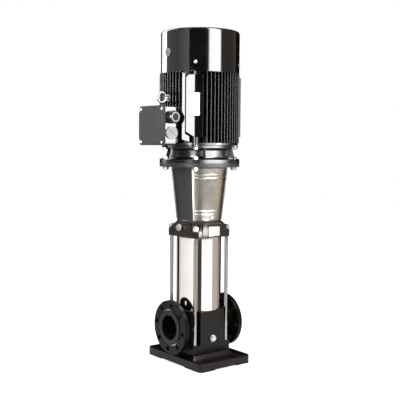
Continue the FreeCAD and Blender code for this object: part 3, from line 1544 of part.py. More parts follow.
def rear_shield():
    z = FRAME_TOP_Z
    spigot_r = BARREL_R - BARREL_WALL - FIT_GAP
    top = z + REAR_SHIELD
    hub_top = UPPER_BEARING_Z + BEARING_WIDTH + EDGE_BREAK
    bearing_r = BEARING_OUTER_R + RUNNING_GAP
    body = turned([
        (BEARING_SHOULDER_R, z),
        (BEARING_SHOULDER_R, UPPER_BEARING_Z),
        (bearing_r, UPPER_BEARING_Z),
        (bearing_r, hub_top),
        (REAR_HUB_R, hub_top),
        (REAR_HUB_R, top),
        (REAR_SHIELD_R, top),
        (REAR_SHIELD_R, z),
        (spigot_r, z),
        (spigot_r, z - REAR_SPIGOT),
        (spigot_r - REAR_SPIGOT, z - REAR_SPIGOT),
        (spigot_r - REAR_SPIGOT, z),
    ])
    lug_r = COVER_R - COVER_SHEET - FIT_GAP
    w = REAR_LUG_WIDTH / 2
    lug = block(lug_r - REAR_LUG_DEPTH, COVER_R, -w, w, z, z + REAR_LUG_HEIGHT)
    lug = lug.common(rod(lug_r, REAR_LUG_HEIGHT, Vector(0, 0, z)))
    body = body.multiFuse(around(lug, DIAGONAL_ANGLES))
    hole = rod(COVER_SCREW_R + FIT_GAP, COVER_SCREW_LENGTH + HOLE_RUNOUT,
               Vector(lug_r, 0, z + COVER_SCREW_LEVEL), Vector(-1, 0, 0))
    return body.cut(around(hole, DIAGONAL_ANGLES)).removeSplitter()


def cup(radius, height, edge, z):
    """Solid cylinder with its top edge rounded over."""
    solid = rod(radius, height, Vector(0, 0, z))
    top = [e for e in solid.Edges if abs(e.BoundBox.ZMin - z - height) < 1e-6
           and e.BoundBox.ZLength < 1e-6]
    return solid.makeFillet(edge, top)


def grille_slots():
    """Curved slots in rings, cut through the top of the fan cover."""
    slots = []
    depth = COVER_SHEET + 2 * MERGE
    z = COVER_TOP_Z - COVER_SHEET - MERGE
    for i in range(GRILLE_RINGS):
        inner = GRILLE_FIRST_R + i * (GRILLE_SLOT + GRILLE_WEB)
        outline = [(inner, z), (inner + GRILLE_SLOT, z),
                   (inner + GRILLE_SLOT, z + depth), (inner, z + depth)]
        slot = turned(outline, GRILLE_SLOT_ANGLE)
        slots += evenly(slot, GRILLE_SLOTS, i % 2 * 180.0 / GRILLE_SLOTS)
    return slots


def fan_cover():
    shell = cup(COVER_R, COVER_HEIGHT, COVER_EDGE_R, FRAME_TOP_Z)
    inner = cup(COVER_R - COVER_SHEET, COVER_HEIGHT - COVER_SHEET,
                COVER_EDGE_R - COVER_SHEET, FRAME_TOP_Z)
    holes = [inner] + grille_slots()
    screw = rod(COVER_SCREW_R + FIT_GAP, 4 * COVER_SHEET,
                Vector(COVER_R - 3 * COVER_SHEET, 0, FRAME_TOP_Z + COVER_SCREW_LEVEL),
                Vector(1, 0, 0))
    holes += around(screw, DIAGONAL_ANGLES)
    centre = Vector(-COVER_R + 3 * COVER_SHEET, 0, FRAME_TOP_Z + COVER_PLUG_LEVEL)
    holes.append(rod(COVER_PLUG_HOLE_R, 6 * COVER_SHEET, centre, Vector(-1, 0, 0)))
    return shell.cut(holes)


def fan_cover_screws():
    axis = Vector(1, 0, 0)
    seat = Vector(COVER_R, 0, FRAME_TOP_Z + COVER_SCREW_LEVEL)
    shank = rod(COVER_SCREW_R, COVER_SCREW_LENGTH, seat, -axis)
    dome = Part.makeSphere(COVER_SCREW_DOME_R, seat - axis * COVER_SCREW_DOME_DEPTH)
    clip = rod(COVER_SCREW_HEAD_R, COVER_SCREW_HEAD, seat, axis)
    return around(shank.fuse(dome.common(clip)), DIAGONAL_ANGLES)


def fan_cover_plug():
    """Rubber plug pushed into the hole in the side of the fan cover."""
    z = FRAME_TOP_Z + COVER_PLUG_LEVEL
    wall_x = -COVER_R - FIT_GAP
    axis = Vector(-1, 0, 0)
    head = rod(COVER_PLUG_R, COVER_PLUG_HEAD, Vector(wall_x, 0, z), axis)
    curve = rod(COVER_R + FIT_GAP, 2 * COVER_PLUG_R, Vector(0, 0, z - COVER_PLUG_R))
    back = Vector(wall_x + COVER_SHEET, 0, z)
    flange = rod(COVER_PLUG_R, COVER_SHEET + COVER_PLUG_HEAD, back, axis).cut(curve)
    inner_x = -COVER_R + 2 * COVER_SHEET
    stem = rod(COVER_PLUG_HOLE_R - FIT_GAP, abs(wall_x - inner_x) + MERGE,
               Vector(inner_x, 0, z), axis)
    return fused([head, flange, stem])


def cooling_fan():
    z = FRAME_TOP_Z + FAN_LEVEL
    bore = fan_seat_r() + RUNNING_GAP
    hub = ring(FAN_HUB_R, bore, FAN_HUB_HEIGHT, Vector(0, 0, z))
    disc = ring(FAN_R, bore, FAN_DISC, Vector(0, 0, z))
    t = FAN_BLADE / 2
    root = FAN_HUB_R - FAN_DISC
    tip = FAN_R - EDGE_BREAK
    blade = polygon_face([
        Vector(root, -t, z),
        Vector(tip, -t, z),
        Vector(tip, -t, z + FAN_TIP_HEIGHT),
        Vector(FAN_PEAK_R, -t, z + FAN_HEIGHT),
        Vector(root, -t, z + FAN_ROOT_HEIGHT),
    ]).extrude(Vector(0, 2 * t, 0))
    return fused([hub, disc] + evenly(blade, FAN_BLADES))


# Terminal box

def box_middle_z():
    return BOX_BOTTOM_Z + BOX_HEIGHT / 2


def facing_minus_x(shape, x, z):
    """Stand a shape drawn in XY, with +Y up, on a plane that faces -X."""
    placed = shape.copy()
    placed.rotate(Vector(0, 0, 0), Vector(1, 0, 0), 90)
    placed.rotate(Vector(0, 0, 0), UP, -90)
    return moved(placed, Vector(-x, 0, z))


def lid_screw_place(shape):
    y = (BOX_WIDTH + 2 * LID_OVERLAP) / 2 - LID_SCREW_INSET
    z = (BOX_HEIGHT + 2 * LID_OVERLAP) / 2 - LID_SCREW_INSET
    return at_corners(shape, y, z)


def terminal_box():
    depth = BOX_FRONT_X - BOX_BACK_X
    width = BOX_WIDTH
    height = BOX_HEIGHT
    body = rounded_prism(width, height, BOX_CORNER_R, 0, depth)
    back = [e for e in body.Edges if e.BoundBox.ZMax < 1e-6]
    body = body.makeChamfer(BOX_CHAMFER, back)
    inset = 3 * BOX_WALL
    cavity = rounded_prism(width - inset, height - inset, BOX_CORNER_R, BOX_WALL, depth)
    post = rod(LID_POST_R, depth - BOX_WALL, Vector(0, 0, BOX_WALL))
    cavity = cavity.cut(lid_screw_place(post))
    body = body.cut(cavity)
    hole = rod(LID_SCREW_R + FIT_GAP, LID_SCREW_LENGTH, Vector(0, 0, depth), DOWN)
    body = body.cut(lid_screw_place(hole))
    box = facing_minus_x(body, BOX_BACK_X, box_middle_z())
    side = Vector(-GLAND_X, -BOX_WIDTH / 2 - MERGE, BOX_BOTTOM_Z + GLAND_HEIGHT)
    gland_hole = rod(GLAND_HOLE_R + FIT_GAP, 3 * BOX_WALL, side, Vector(0, 1, 0))
    side.z = BOX_BOTTOM_Z + BLANK_HEIGHT
    blank_hole = rod(GLAND_HOLE_R + FIT_GAP, 3 * BOX_WALL, side, Vector(0, 1, 0))
    return box.cut([gland_hole, blank_hole])


def terminal_box_cover():
    width = BOX_WIDTH + 2 * LID_OVERLAP
    height = BOX_HEIGHT + 2 * LID_OVERLAP
    lid = rounded_prism(width, height, LID_CORNER_R, 0, LID_EDGE)
    panel = rounded_prism(width, height, LID_CORNER_R, LID_EDGE, LID_EDGE + LID_PANEL)
    corner = rod(LID_CORNER, 2 * LID_PANEL, Vector(width / 2, height / 2, LID_EDGE))
    corner.translate(Vector(-width / 2, -height / 2, 0))
    panel = panel.cut(at_corners(corner, width / 2, height / 2))
    lid = lid.fuse(panel)
    hole = rod(LID_SCREW_R + FIT_GAP, LID_EDGE)
    lid = lid.cut(lid_screw_place(hole)).removeSplitter()
    return facing_minus_x(lid, BOX_FRONT_X, box_middle_z())


def terminal_cover_screws():
    shank = rod(LID_SCREW_R, LID_EDGE + LID_SCREW_LENGTH - HOLE_RUNOUT, Vector(0, 0, LID_EDGE), DOWN)
    head = rod(LID_SCREW_HEAD_R, LID_SCREW_HEAD, Vector(0, 0, LID_EDGE))
    screw = shank.fuse(head)
    return [facing_minus_x(s, BOX_FRONT_X, box_middle_z()) for s in lid_screw_place(screw)]


def terminal_board():
    """Insulating board on the back wall, with six terminal studs."""
    board = rounded_prism(BOARD_WIDTH, BOARD_HEIGHT, BOARD_CORNER_R, 0, BOARD_THICKNESS)
    stud = rod(STUD_R, BOARD_THICKNESS + STUD_OUT, Vector(0, 0, 0))
    places = [(x, y) for x in (-1, 0, 1) for y in (-0.5, 0.5)]
    studs = [moved(stud, Vector(x * STUD_PITCH, y * STUD_PITCH, 0)) for x, y in places]
    return facing_minus_x(fused([board] + studs), BOX_BACK_X + BOX_WALL, box_middle_z())


def side_point(height):
    return Vector(-GLAND_X, -BOX_WIDTH / 2, BOX_BOTTOM_Z + height)


def cable_gland():
    base = side_point(GLAND_HEIGHT)
    out = Vector(0, -1, 0)
    flange = hexagon(GLAND_HEX, GLAND_FLANGE, base, out)
    flange = flange.common(rod(GLAND_R, GLAND_FLANGE, base, out))
    inner_length = BOX_WALL + GLAND_THREAD_OUT
    thread = rod(GLAND_HOLE_R, inner_length, base, -out)
    nose = rod(GLAND_NOSE_R, GLAND_NOSE, base + out * GLAND_FLANGE, out)
    bore_length = inner_length + GLAND_FLANGE + GLAND_NOSE
    bore = rod(GLAND_BORE_R, bore_length, base - out * inner_length, out)
    return fused([flange, thread, nose]).cut(bore)


def cable_gland_nut():
    out = Vector(0, -1, 0)
    base = side_point(GLAND_HEIGHT) + out * GLAND_FLANGE
    nut = rod(GLAND_NUT_R, GLAND_NUT, base, out)
    end = [e for e in nut.Edges if abs(e.BoundBox.YMin - base.y + GLAND_NUT) < 1e-6
           and e.BoundBox.YLength < 1e-6]
    nut = nut.makeChamfer(GLAND_NUT_CHAMFER, end)
    nose_space = rod(GLAND_NOSE_R + FIT_GAP, GLAND_NOSE + FREE_GAP, base, out)
    return nut.cut([nose_space, rod(GLAND_BORE_R, GLAND_NUT, base, out)])


def cable_gland_disc():
    """Disc that closes the gland until a cable is fitted."""
    out = Vector(0, -1, 0)
    nose_end = side_point(GLAND_HEIGHT) + out * (GLAND_FLANGE + GLAND_NUT - GLAND_DISC - MERGE)
    return rod(GLAND_BORE_R - RUNNING_GAP, GLAND_DISC, nose_end, out)


def blanking_plug():
    """Slotted plug that closes the second cable entry."""
    base = side_point(BLANK_HEIGHT)
    out = Vector(0, -1, 0)
    head = rod(BLANK_R, BLANK_THICKNESS, base, out)
    thread = rod(GLAND_HOLE_R, BOX_WALL + GLAND_THREAD_OUT, base, -out)
    slot = block(-BLANK_R, BLANK_R, -BLANK_SLOT_DEPTH, 0, -BLANK_SLOT / 2, BLANK_SLOT / 2)
    slot.rotate(Vector(0, 0, 0), Vector(0, 1, 0), BLANK_SLOT_ANGLE)
    slot.translate(base + out * (BLANK_THICKNESS - BLANK_SLOT_DEPTH))
    return head.fuse(thread).cut(slot)


# Lifting eye

def lifting_eye():
    """Eye bolt screwed into the boss on the side of the frame."""
    z = EYE_Z
    eye = Part.makeTorus(EYE_R, EYE_WIRE_R, Vector(-EYE_X, 0, z), Vector(0, 1, 0))
    inward = Vector(1, 0, 0)
    collar = rod(EYE_COLLAR_R, EYE_COLLAR, Vector(-EYE_BOSS_X, 0, z), -inward)
    neck_length = EYE_X - EYE_BOSS_X - EYE_R
    neck = Part.makeCone(EYE_NECK_R, EYE_WIRE_R, neck_length,
                         Vector(-EYE_BOSS_X, 0, z), -inward)
    shank = rod(EYE_SHANK_R, EYE_SHANK, Vector(-EYE_BOSS_X, 0, z), inward)
    return fused([eye, collar, neck, shank])


def save(name, solids):
    shape = Part.makeCompound(solids) if isinstance(solids, list) else solids
    shape.exportStep(f"parts/{name}.step")


def main():
    os.makedirs("parts", exist_ok=True)
    drain_base, drain_axis = drain_seat()
    fill_base, fill_axis = fill_seat()
    inlet = port_flange()
    save("pump_base", pump_base())
    save("flange_lock_rings", flange_lock_rings())
    save("inlet_flange", inlet)
    save("outlet_flange", mirrored_x(inlet))
    save("drain_plug", plug(drain_base, drain_axis))
    save("drain_plug_seal", plug_seal(drain_base, drain_axis))
    save("filling_plug", plug(fill_base, fill_axis))
    save("filling_plug_seal", plug_seal(fill_base, fill_axis))
    save("outer_sleeve", outer_sleeve())
    save("sleeve_orings", sleeve_orings())
    save("tie_rods", tie_rods())
    save("tie_rod_washers", tie_rod_washers())
    save("tie_rod_nuts", tie_rod_nuts())
    save("suction_inlet", suction_inlet())
    save("stage_chambers", [stage_chamber(i) for i in range(STAGES)])
    save("bearing_bushes", bearing_bushes())
    save("neck_rings", neck_rings())
    save("chamber_cap", chamber_cap())
    save("impellers", [impeller(i) for i in range(STAGES)])
    save("shaft_spacers", shaft_spacers())
    save("impeller_nut", impeller_nut())
    save("pump_shaft", pump_shaft())
    save("pump_head", pump_head())
    save("head_plate", head_plate())
    save("seal_cover", seal_cover())
    save("seal_seat", seal_seat())
    save("seal_head", seal_head())
    save("motor_stool", motor_stool())
    save("stool_screws", stool_screws())
    save("coupling_guard_front", coupling_guard(0))
    save("coupling_guard_rear", coupling_guard(180))
    save("guard_screws", guard_screws())
    save("coupling_halves", coupling_halves())
    save("coupling_screws", coupling_screws())
    save("motor_shaft", motor_shaft())
    save("drive_end_shield", drive_end_shield())
    save("flange_bolts", flange_bolts())
    save("flange_nuts", flange_nuts())
    save("shield_screws", shield_screws())
    save("bearing_outer_rings", bearing_outer_rings())
    save("bearing_inner_rings", bearing_inner_rings())
    save("motor_frame", motor_frame())
    save("rating_plate", rating_plate())
    save("stator_core", stator_core())
    save("stator_windings", stator_windings())
    save("rotor_core", rotor_core())
    save("rear_shield", rear_shield())
    save("fan_cover", fan_cover())
    save("fan_cover_screws", fan_cover_screws())
    save("fan_cover_plug", fan_cover_plug())
    save("cooling_fan", cooling_fan())
    save("terminal_box", terminal_box())
    save("terminal_box_cover", terminal_box_cover())
    save("terminal_cover_screws", terminal_cover_screws())
    save("terminal_board", terminal_board())
    save("cable_gland", cable_gland())
    save("cable_gland_nut", cable_gland_nut())
    save("cable_gland_disc", cable_gland_disc())
    save("blanking_plug", blanking_plug())
    save("lifting_eye", lifting_eye())


main()
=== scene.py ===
# %% [markdown]
# A tall inline multistage pump: a cast base with two loose port flanges, a mirror-bright sleeve between four
# tie rods, a pump head, a conical motor stool with sheet guards, and a finned motor with a glossy fan cover.
# The engineering model arrives as a fixed frame, with every piece in its place. This lesson gives each piece
# its finish and its smooth skin, adds the small trim, and sets up the studio. First the frame is loaded.

import json
import math

import bmesh
import bpy
from mathutils import Matrix, Vector

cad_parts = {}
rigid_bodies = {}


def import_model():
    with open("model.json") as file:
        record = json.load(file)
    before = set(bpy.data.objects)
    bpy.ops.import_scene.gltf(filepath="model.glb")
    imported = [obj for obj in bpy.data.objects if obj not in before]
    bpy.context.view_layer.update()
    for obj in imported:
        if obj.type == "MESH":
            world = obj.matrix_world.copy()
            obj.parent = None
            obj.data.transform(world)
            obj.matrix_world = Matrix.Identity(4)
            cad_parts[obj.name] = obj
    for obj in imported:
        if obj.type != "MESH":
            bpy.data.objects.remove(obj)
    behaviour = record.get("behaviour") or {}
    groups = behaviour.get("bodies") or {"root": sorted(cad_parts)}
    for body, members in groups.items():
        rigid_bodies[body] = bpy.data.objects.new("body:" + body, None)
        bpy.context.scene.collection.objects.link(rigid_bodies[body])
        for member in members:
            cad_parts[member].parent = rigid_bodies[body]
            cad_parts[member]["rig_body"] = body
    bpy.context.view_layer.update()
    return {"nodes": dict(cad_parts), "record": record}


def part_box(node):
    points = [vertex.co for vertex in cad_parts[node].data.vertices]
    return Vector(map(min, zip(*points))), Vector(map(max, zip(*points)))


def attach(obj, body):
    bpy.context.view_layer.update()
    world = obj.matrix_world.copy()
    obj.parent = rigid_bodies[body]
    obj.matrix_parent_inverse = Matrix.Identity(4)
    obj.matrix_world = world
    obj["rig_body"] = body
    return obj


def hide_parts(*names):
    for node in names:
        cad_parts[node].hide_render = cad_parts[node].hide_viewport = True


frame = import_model()

# %% [markdown]
# Millimetres are easier to read for machine parts, but Blender works in metres. One small value turns the
# first into the second. The pieces belong to bodies that move on their own, such as the shaft or a plug, so a
# lookup tells which body carries a node, and which material slot the record gives it.

# %% Units and lookups
MM = 0.001
AXIS = Vector((0, 0, 1))
body_of = {node: obj["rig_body"] for node, obj in frame["nodes"].items()}
slot_of = {entry["node"]: entry["material_slot"] for entry in frame["record"]["subparts"]}


def place(name):
    """Lowest corner, highest corner and centre of a node."""
    low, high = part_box(name)
    return low, high, (low + high) / 2


# %% [markdown]
# The photograph was taken with a long lens, a little above the middle of the pump and 38 degrees off its
# front. A camera was fitted to measured points of the picture, so its distance, height, tilt and roll are
# plain values here. The focal length is given in pixels of a 400 pixel frame and turned into millimetres.

# %% Camera
VIEW_AZIMUTH = math.radians(-38.05)
VIEW_DISTANCE = 3.38427
VIEW_HEIGHT = 0.95315
VIEW_PITCH = math.radians(-4.13)
VIEW_ROLL = math.radians(0.43)
FRAME_PIXELS = 400
FOCAL_PIXELS = 768.62
SHIFT_PIXELS = 0.77
SENSOR = 36.0


def make_camera():
    data = bpy.data.cameras.new("photo_camera")
    data.sensor_width = SENSOR
    data.lens = FOCAL_PIXELS / FRAME_PIXELS * SENSOR
    data.shift_x = SHIFT_PIXELS / FRAME_PIXELS
    camera = bpy.data.objects.new("photo_camera", data)
    bpy.context.scene.collection.objects.link(camera)
    turn = Matrix.Rotation(VIEW_AZIMUTH, 4, "Z")
    tilt = Matrix.Rotation(math.pi / 2 + VIEW_PITCH, 4, "X")
    roll = Matrix.Rotation(VIEW_ROLL, 4, "Z")
    away = Matrix.Translation((0, -VIEW_DISTANCE, VIEW_HEIGHT))
    camera.matrix_world = turn @ away @ tilt @ roll
    bpy.context.scene.camera = camera
    return camera


camera = make_camera()
print("camera at", [round(value, 3) for value in camera.matrix_world.translation])

# %% [markdown]
# Colours are chosen as they look on a screen, but shaders work in linear light. A short function turns a
# screen colour into a linear one, so that every colour below can be read as a common hex code.

# %% Screen colours


def tone(code):
    """Linear colour with alpha from a hex code such as 2d2726."""
    screen = [int(code[first:first + 2], 16) / 255 for first in (0, 2, 4)]
    linear = [level / 12.92 if level <= 0.04045 else ((level + 0.055) / 1.055) ** 2.4 for level in screen]
    return (*linear, 1.0)


print("screen grey 808080 is linear", round(tone("808080")[0], 4))

# %% [markdown]
# A shader is a small graph. Building one by hand repeats the same three moves: make a node, set its values,
# link it. These helpers keep a material down to a few readable lines. A group is a graph of its own that many
# materials can share. Its sockets are made on its interface, and the groups here pass on values and normals.

# %% Shader helpers


def node(tree, kind, links=None, **values):
    """A new shader node, with named inputs set, and linked from other sockets."""
    made = tree.nodes.new("ShaderNode" + kind)
    for key, value in values.items():
        if hasattr(made, key):
            setattr(made, key, value)
        else:
            made.inputs[key.replace("_", " ")].default_value = value
    for key, source in (links or {}).items():
        tree.links.new(source, made.inputs[key])
    return made


def maths(tree, operation, first, second):
    """One operation on two values, each a socket or a plain number."""
    made = node(tree, "Math", operation=operation)
    for socket, value in zip(made.inputs, (first, second)):
        if isinstance(value, (int, float)):
            socket.default_value = value
        else:
            tree.links.new(value, socket)
    return made.outputs[0]


def blended(tree, factor, first, second):
    """Mix two colours, each a socket or a plain colour. A Mix node has its colour sockets behind others."""
    made = node(tree, "Mix", data_type="RGBA")
    for socket, value in ((made.inputs[0], factor), (made.inputs[6], first), (made.inputs[7], second)):
        if isinstance(value, (int, float, tuple)):
            socket.default_value = value
        else:
            tree.links.new(value, socket)
    return made.outputs[2]


def spread(tree, source, low, high, to_low=0.0, to_high=1.0):
    """Stretch a value from one range to another, held at the ends."""
    made = node(tree, "MapRange", {"Value": source})
    for key, value in zip(("From Min", "From Max", "To Min", "To Max"), (low, high, to_low, to_high)):
        made.inputs[key].default_value = value
    return made.outputs[0]


def new_group(name, inputs, outputs):
    """A group with sockets of the given kinds: its tree, what it is given, and what it gives out."""
    tree = bpy.data.node_groups.new(name, "ShaderNodeTree")
    for way, sockets in (("INPUT", inputs), ("OUTPUT", outputs)):
        for label, kind in sockets.items():
            tree.interface.new_socket(label, in_out=way, socket_type="NodeSocket" + kind)
    return tree, tree.nodes.new("NodeGroupInput").outputs, tree.nodes.new("NodeGroupOutput").inputs


def placed_group(tree, group, links=None, **values):
    """A group placed in a tree, to be read by the names of its outputs."""
    return node(tree, "Group", links, node_tree=group, **values).outputs


# %% [markdown]
# Cast iron keeps the grain of its sand mould, even under paint: fine bumps about a millimetre wide on top of
# soft lumps of about a centimetre. Two noise textures of different size give that height, and a third, the
# broadest, mottles the colour. It is a group, because base, head, stool and motor all share it.

# %% Cast skin group
LUMP_HEIGHT = 1.4
MOTTLE_RANGE = (0.3, 0.7)


def cast_skin_group():
    tree, given, out = new_group("cast_skin", {"Vector": "Vector"}, {"Height": "Float", "Mottle": "Float"})
    fine = node(tree, "TexNoise", {"Vector": given["Vector"]}, Scale=900.0, Detail=3.0)
    lumps = node(tree, "TexNoise", {"Vector": given["Vector"]}, Scale=110.0, Detail=2.0)
    broad = node(tree, "TexNoise", {"Vector": given["Vector"]}, Scale=14.0, Detail=4.0)
    height = maths(tree, "ADD", fine.outputs[0], maths(tree, "MULTIPLY", lumps.outputs[0], LUMP_HEIGHT))
    tree.links.new(height, out["Height"])
    tree.links.new(spread(tree, broad.outputs[0], *MOTTLE_RANGE), out["Mottle"])
    return tree


cast_skin = cast_skin_group()
print(cast_skin.name, "has", len(cast_skin.nodes), "nodes")

# %% [markdown]
# Paint wears first along edges. The Bevel node gives the normal that a rounded edge would have, so where it
# differs from the true normal there is an edge nearby. Broken up with noise, that difference is a wear mask,
# and the rounded normal itself softens every sharp corner, as a mould or a buffing wheel would.

# %% Edge wear group
EDGE_RANGE = (0.985, 0.86)
CHIP_RANGE = (0.42, 0.62)


def edge_wear_group():
    tree, given, out = new_group(
        "edge_wear",
        {"Vector": "Vector", "Radius": "Float", "Amount": "Float"},
        {"Edge": "Float", "Normal": "Vector"},
    )
    rounded = node(tree, "Bevel", {"Radius": given["Radius"]}, samples=4)
    plain = node(tree, "NewGeometry")
    align = node(tree, "VectorMath", operation="DOT_PRODUCT")
    tree.links.new(rounded.outputs[0], align.inputs[0])
    tree.links.new(plain.outputs["Normal"], align.inputs[1])
    edge = spread(tree, align.outputs["Value"], *EDGE_RANGE)
    chips = node(tree, "TexNoise", {"Vector": given["Vector"]}, Scale=160.0, Detail=4.0)
    broken = maths(tree, "MULTIPLY", edge, spread(tree, chips.outputs[0], *CHIP_RANGE))
    tree.links.new(maths(tree, "MULTIPLY", broken, given["Amount"]), out["Edge"])
    tree.links.new(rounded.outputs[0], out["Normal"])
    return tree


edge_wear = edge_wear_group()
print(edge_wear.name, "has", len(edge_wear.nodes), "nodes")

# %% [markdown]
# A pump in a store room gathers a little dust on its ledges. A face that looks up catches it, a wall doesn't,
# and it lies in patches. The mask is the upward part of the normal times a soft noise.

# %% Dust group
LEDGE_RANGE = (0.5, 0.95)
PATCH_RANGE = (0.35, 0.7)


def dust_group():
    tree, given, out = new_group("dust", {"Vector": "Vector", "Amount": "Float"}, {"Mask": "Float"})
    facing = node(tree, "SeparateXYZ", {"Vector": node(tree, "NewGeometry").outputs["Normal"]})
    level = spread(tree, facing.outputs["Z"], *LEDGE_RANGE)
    patches = node(tree, "TexNoise", {"Vector": given["Vector"]}, Scale=26.0, Detail=5.0)
    mask = maths(tree, "MULTIPLY", level, spread(tree, patches.outputs[0], *PATCH_RANGE))
    tree.links.new(maths(tree, "MULTIPLY", mask, given["Amount"]), out["Mask"])
    return tree


dust = dust_group()
print(dust.name, "has", len(dust.nodes), "nodes")

# %% [markdown]
# Rolled, turned and ground steel carries fine lines along one direction. Noise that is squeezed across the
# lines and stretched along them gives that look. The stretch is an input, so the same group draws upright
# lines on the sleeve, lines round the shaft and an even grain on the guards.

# %% Brushed lines group
SMUDGE_RANGE = (0.35, 0.75)


def brushed_group():
    tree, given, out = new_group(
        "brushed_lines",
        {"Vector": "Vector", "Stretch": "Vector", "Scale": "Float"},
        {"Lines": "Float", "Smudge": "Float"},
    )
    scaled = node(tree, "VectorMath", operation="MULTIPLY")
    tree.links.new(given["Vector"], scaled.inputs[0])
    tree.links.new(given["Stretch"], scaled.inputs[1])
    lines = node(tree, "TexNoise", {"Vector": scaled.outputs[0], "Scale": given["Scale"]}, Detail=4.0)
    smudge = node(tree, "TexNoise", {"Vector": given["Vector"]}, Scale=9.0, Detail=6.0)
    tree.links.new(lines.outputs[0], out["Lines"])
    tree.links.new(spread(tree, smudge.outputs[0], *SMUDGE_RANGE), out["Smudge"])
    return tree


brushed = brushed_group()
print(brushed.name, "has", len(brushed.nodes), "nodes")

# %% [markdown]
# Every finish starts in the same way: an empty material with one Principled shader and the object's own
# coordinates. The pieces keep their place in their mesh, so object coordinates are the pump's own, and a
# pattern has its true size in metres on every piece.

# %% Starting a material


def start(name, base, metallic=0.0, roughness=0.5, **sockets):
    """A new material: the material itself, its tree, its Principled shader and the object coordinates."""
    material = bpy.data.materials.new(name)
    material.use_nodes = True
    tree = material.node_tree
    shader = tree.nodes["Principled BSDF"]
    shader.inputs["Base Color"].default_value = tone(base)
    shader.inputs["Metallic"].default_value = metallic
    shader.inputs["Roughness"].default_value = roughness
    for key, value in sockets.items():
        shader.inputs[key.replace("_", " ")].default_value = value
    where = tree.nodes.new("ShaderNodeTexCoord").outputs["Object"]
    return material, tree, shader, where


def raise_bumps(tree, shader, height, distance, strength, normal=None):
    """Drive the shader's normal by a height, on top of a given normal where there is one."""
    bump = node(tree, "Bump", {"Height": height}, Distance=distance, Strength=strength)
    if normal is not None:
        tree.links.new(normal, bump.inputs["Normal"])
    tree.links.new(bump.outputs[0], shader.inputs["Normal"])


# %% [markdown]
# Painted castings make up most of the pump: the black base and head, the dark grey stool, the motor. The
# paint follows the sand grain, is a little thinner and lighter on worn edges, and dulls where dust lies. One
# function makes them all, with the colour, the gloss and the depth of the grain as its values. The dictionary
# is the paint shop's list: material slot on the left, finish on the right. Its colours follow the photograph,
# but are darker than they look there, because the reflections of the studio add to them.

# %% Painted castings
CASTING_EDGE = 1.5 * MM
CASTING_WEAR = 0.55
MOTTLE_SHARE = 0.35
DUST_COLOUR = "5a5047"
DUST_DULLING = 0.6
GLOSS_BELOW = 0.05
GLOSS_ABOVE = 0.07
GRAIN_STRENGTH = 0.6


def painted_casting(name, base, worn, roughness, grain_depth, mottle="000000", dusty=0.06, shine=0.5):
    """Paint on cast iron. Worn is the colour of its edges, and the depth of the grain is in millimetres."""
    material, tree, shader, where = start(name, base, roughness=roughness, Specular_IOR_Level=shine)
    skin = placed_group(tree, cast_skin, {"Vector": where})
    wear = placed_group(tree, edge_wear, {"Vector": where}, Radius=CASTING_EDGE, Amount=CASTING_WEAR)
    lying = placed_group(tree, dust, {"Vector": where}, Amount=dusty)
    shade = maths(tree, "MULTIPLY", skin["Mottle"], MOTTLE_SHARE)
    colour = blended(tree, shade, tone(base), tone(mottle))
    colour = blended(tree, wear["Edge"], colour, tone(worn))
    colour = blended(tree, lying["Mask"], colour, tone(DUST_COLOUR))
    tree.links.new(colour, shader.inputs["Base Color"])
    gloss = spread(tree, skin["Mottle"], 0.0, 1.0, roughness - GLOSS_BELOW, roughness + GLOSS_ABOVE)
    gloss = maths(tree, "ADD", gloss, maths(tree, "MULTIPLY", lying["Mask"], DUST_DULLING))
    tree.links.new(gloss, shader.inputs["Roughness"])
    raise_bumps(tree, shader, skin["Height"], grain_depth * MM, GRAIN_STRENGTH, wear["Normal"])
    return material


finishes = {
    "black_casting": painted_casting("black_casting", "120c0a", "3c332d", 0.30, 0.12, shine=0.3),
    "stool_paint": painted_casting("stool_paint", "2f2f2d", "5c5a56", 0.36, 0.08, "1c1c1b"),
    "motor_paint": painted_casting("motor_paint", "0c0c0d", "343332", 0.12, 0.03, dusty=0.03),
    "box_paint": painted_casting("box_paint", "302f30", "6b6a6a", 0.12, 0.02, "242425", shine=0.8),
}
print("painted castings", list(finishes))

# %% [markdown]
# The fan cover is pressed from sheet and finished in a deep gloss: its long clean reflections are the most
# telling thing in the picture. Its surface is nearly flat, with a very faint orange peel in the gloss.

# %% Gloss paint
PEEL_DEPTH = 0.02 * MM
PEEL_STRENGTH = 0.35
SHEET_EDGE = 1.2 * MM
SHEET_WEAR = 0.3
SMUDGE_DULLING = 0.06
SMUDGE_COLOUR = "141416"


def gloss_paint(name, base, roughness):
    material, tree, shader, where = start(name, base, roughness=roughness)
    peel = node(tree, "TexNoise", {"Vector": where}, Scale=220.0, Detail=1.0)
    smudge = node(tree, "TexNoise", {"Vector": where}, Scale=7.0, Detail=6.0)
    gloss = spread(tree, smudge.outputs[0], *SMUDGE_RANGE, roughness, roughness + SMUDGE_DULLING)
    tree.links.new(gloss, shader.inputs["Roughness"])
    tint = blended(tree, spread(tree, smudge.outputs[0], *MOTTLE_RANGE), tone(base), tone(SMUDGE_COLOUR))
    tree.links.new(tint, shader.inputs["Base Color"])
    wear = placed_group(tree, edge_wear, {"Vector": where}, Radius=SHEET_EDGE, Amount=SHEET_WEAR)
    raise_bumps(tree, shader, peel.outputs[0], PEEL_DEPTH, PEEL_STRENGTH, wear["Normal"])
    return material


finishes["cover_paint"] = gloss_paint("cover_paint", "08080a", 0.04)
print("gloss paint", finishes["cover_paint"].name)

# %% [markdown]
# The sleeve is bright stainless tube, polished until it mirrors. Real ones show faint upright drawing lines
# and wiping smudges, which change the roughness and a little of the colour. The guards are duller sheet with
# a satin grind, and the tie rods, plugs and bolts are plated. All are metals, and they differ in lines, tint
# and roughness. A stretch sets the way the lines run: a small number draws the noise out along that axis.

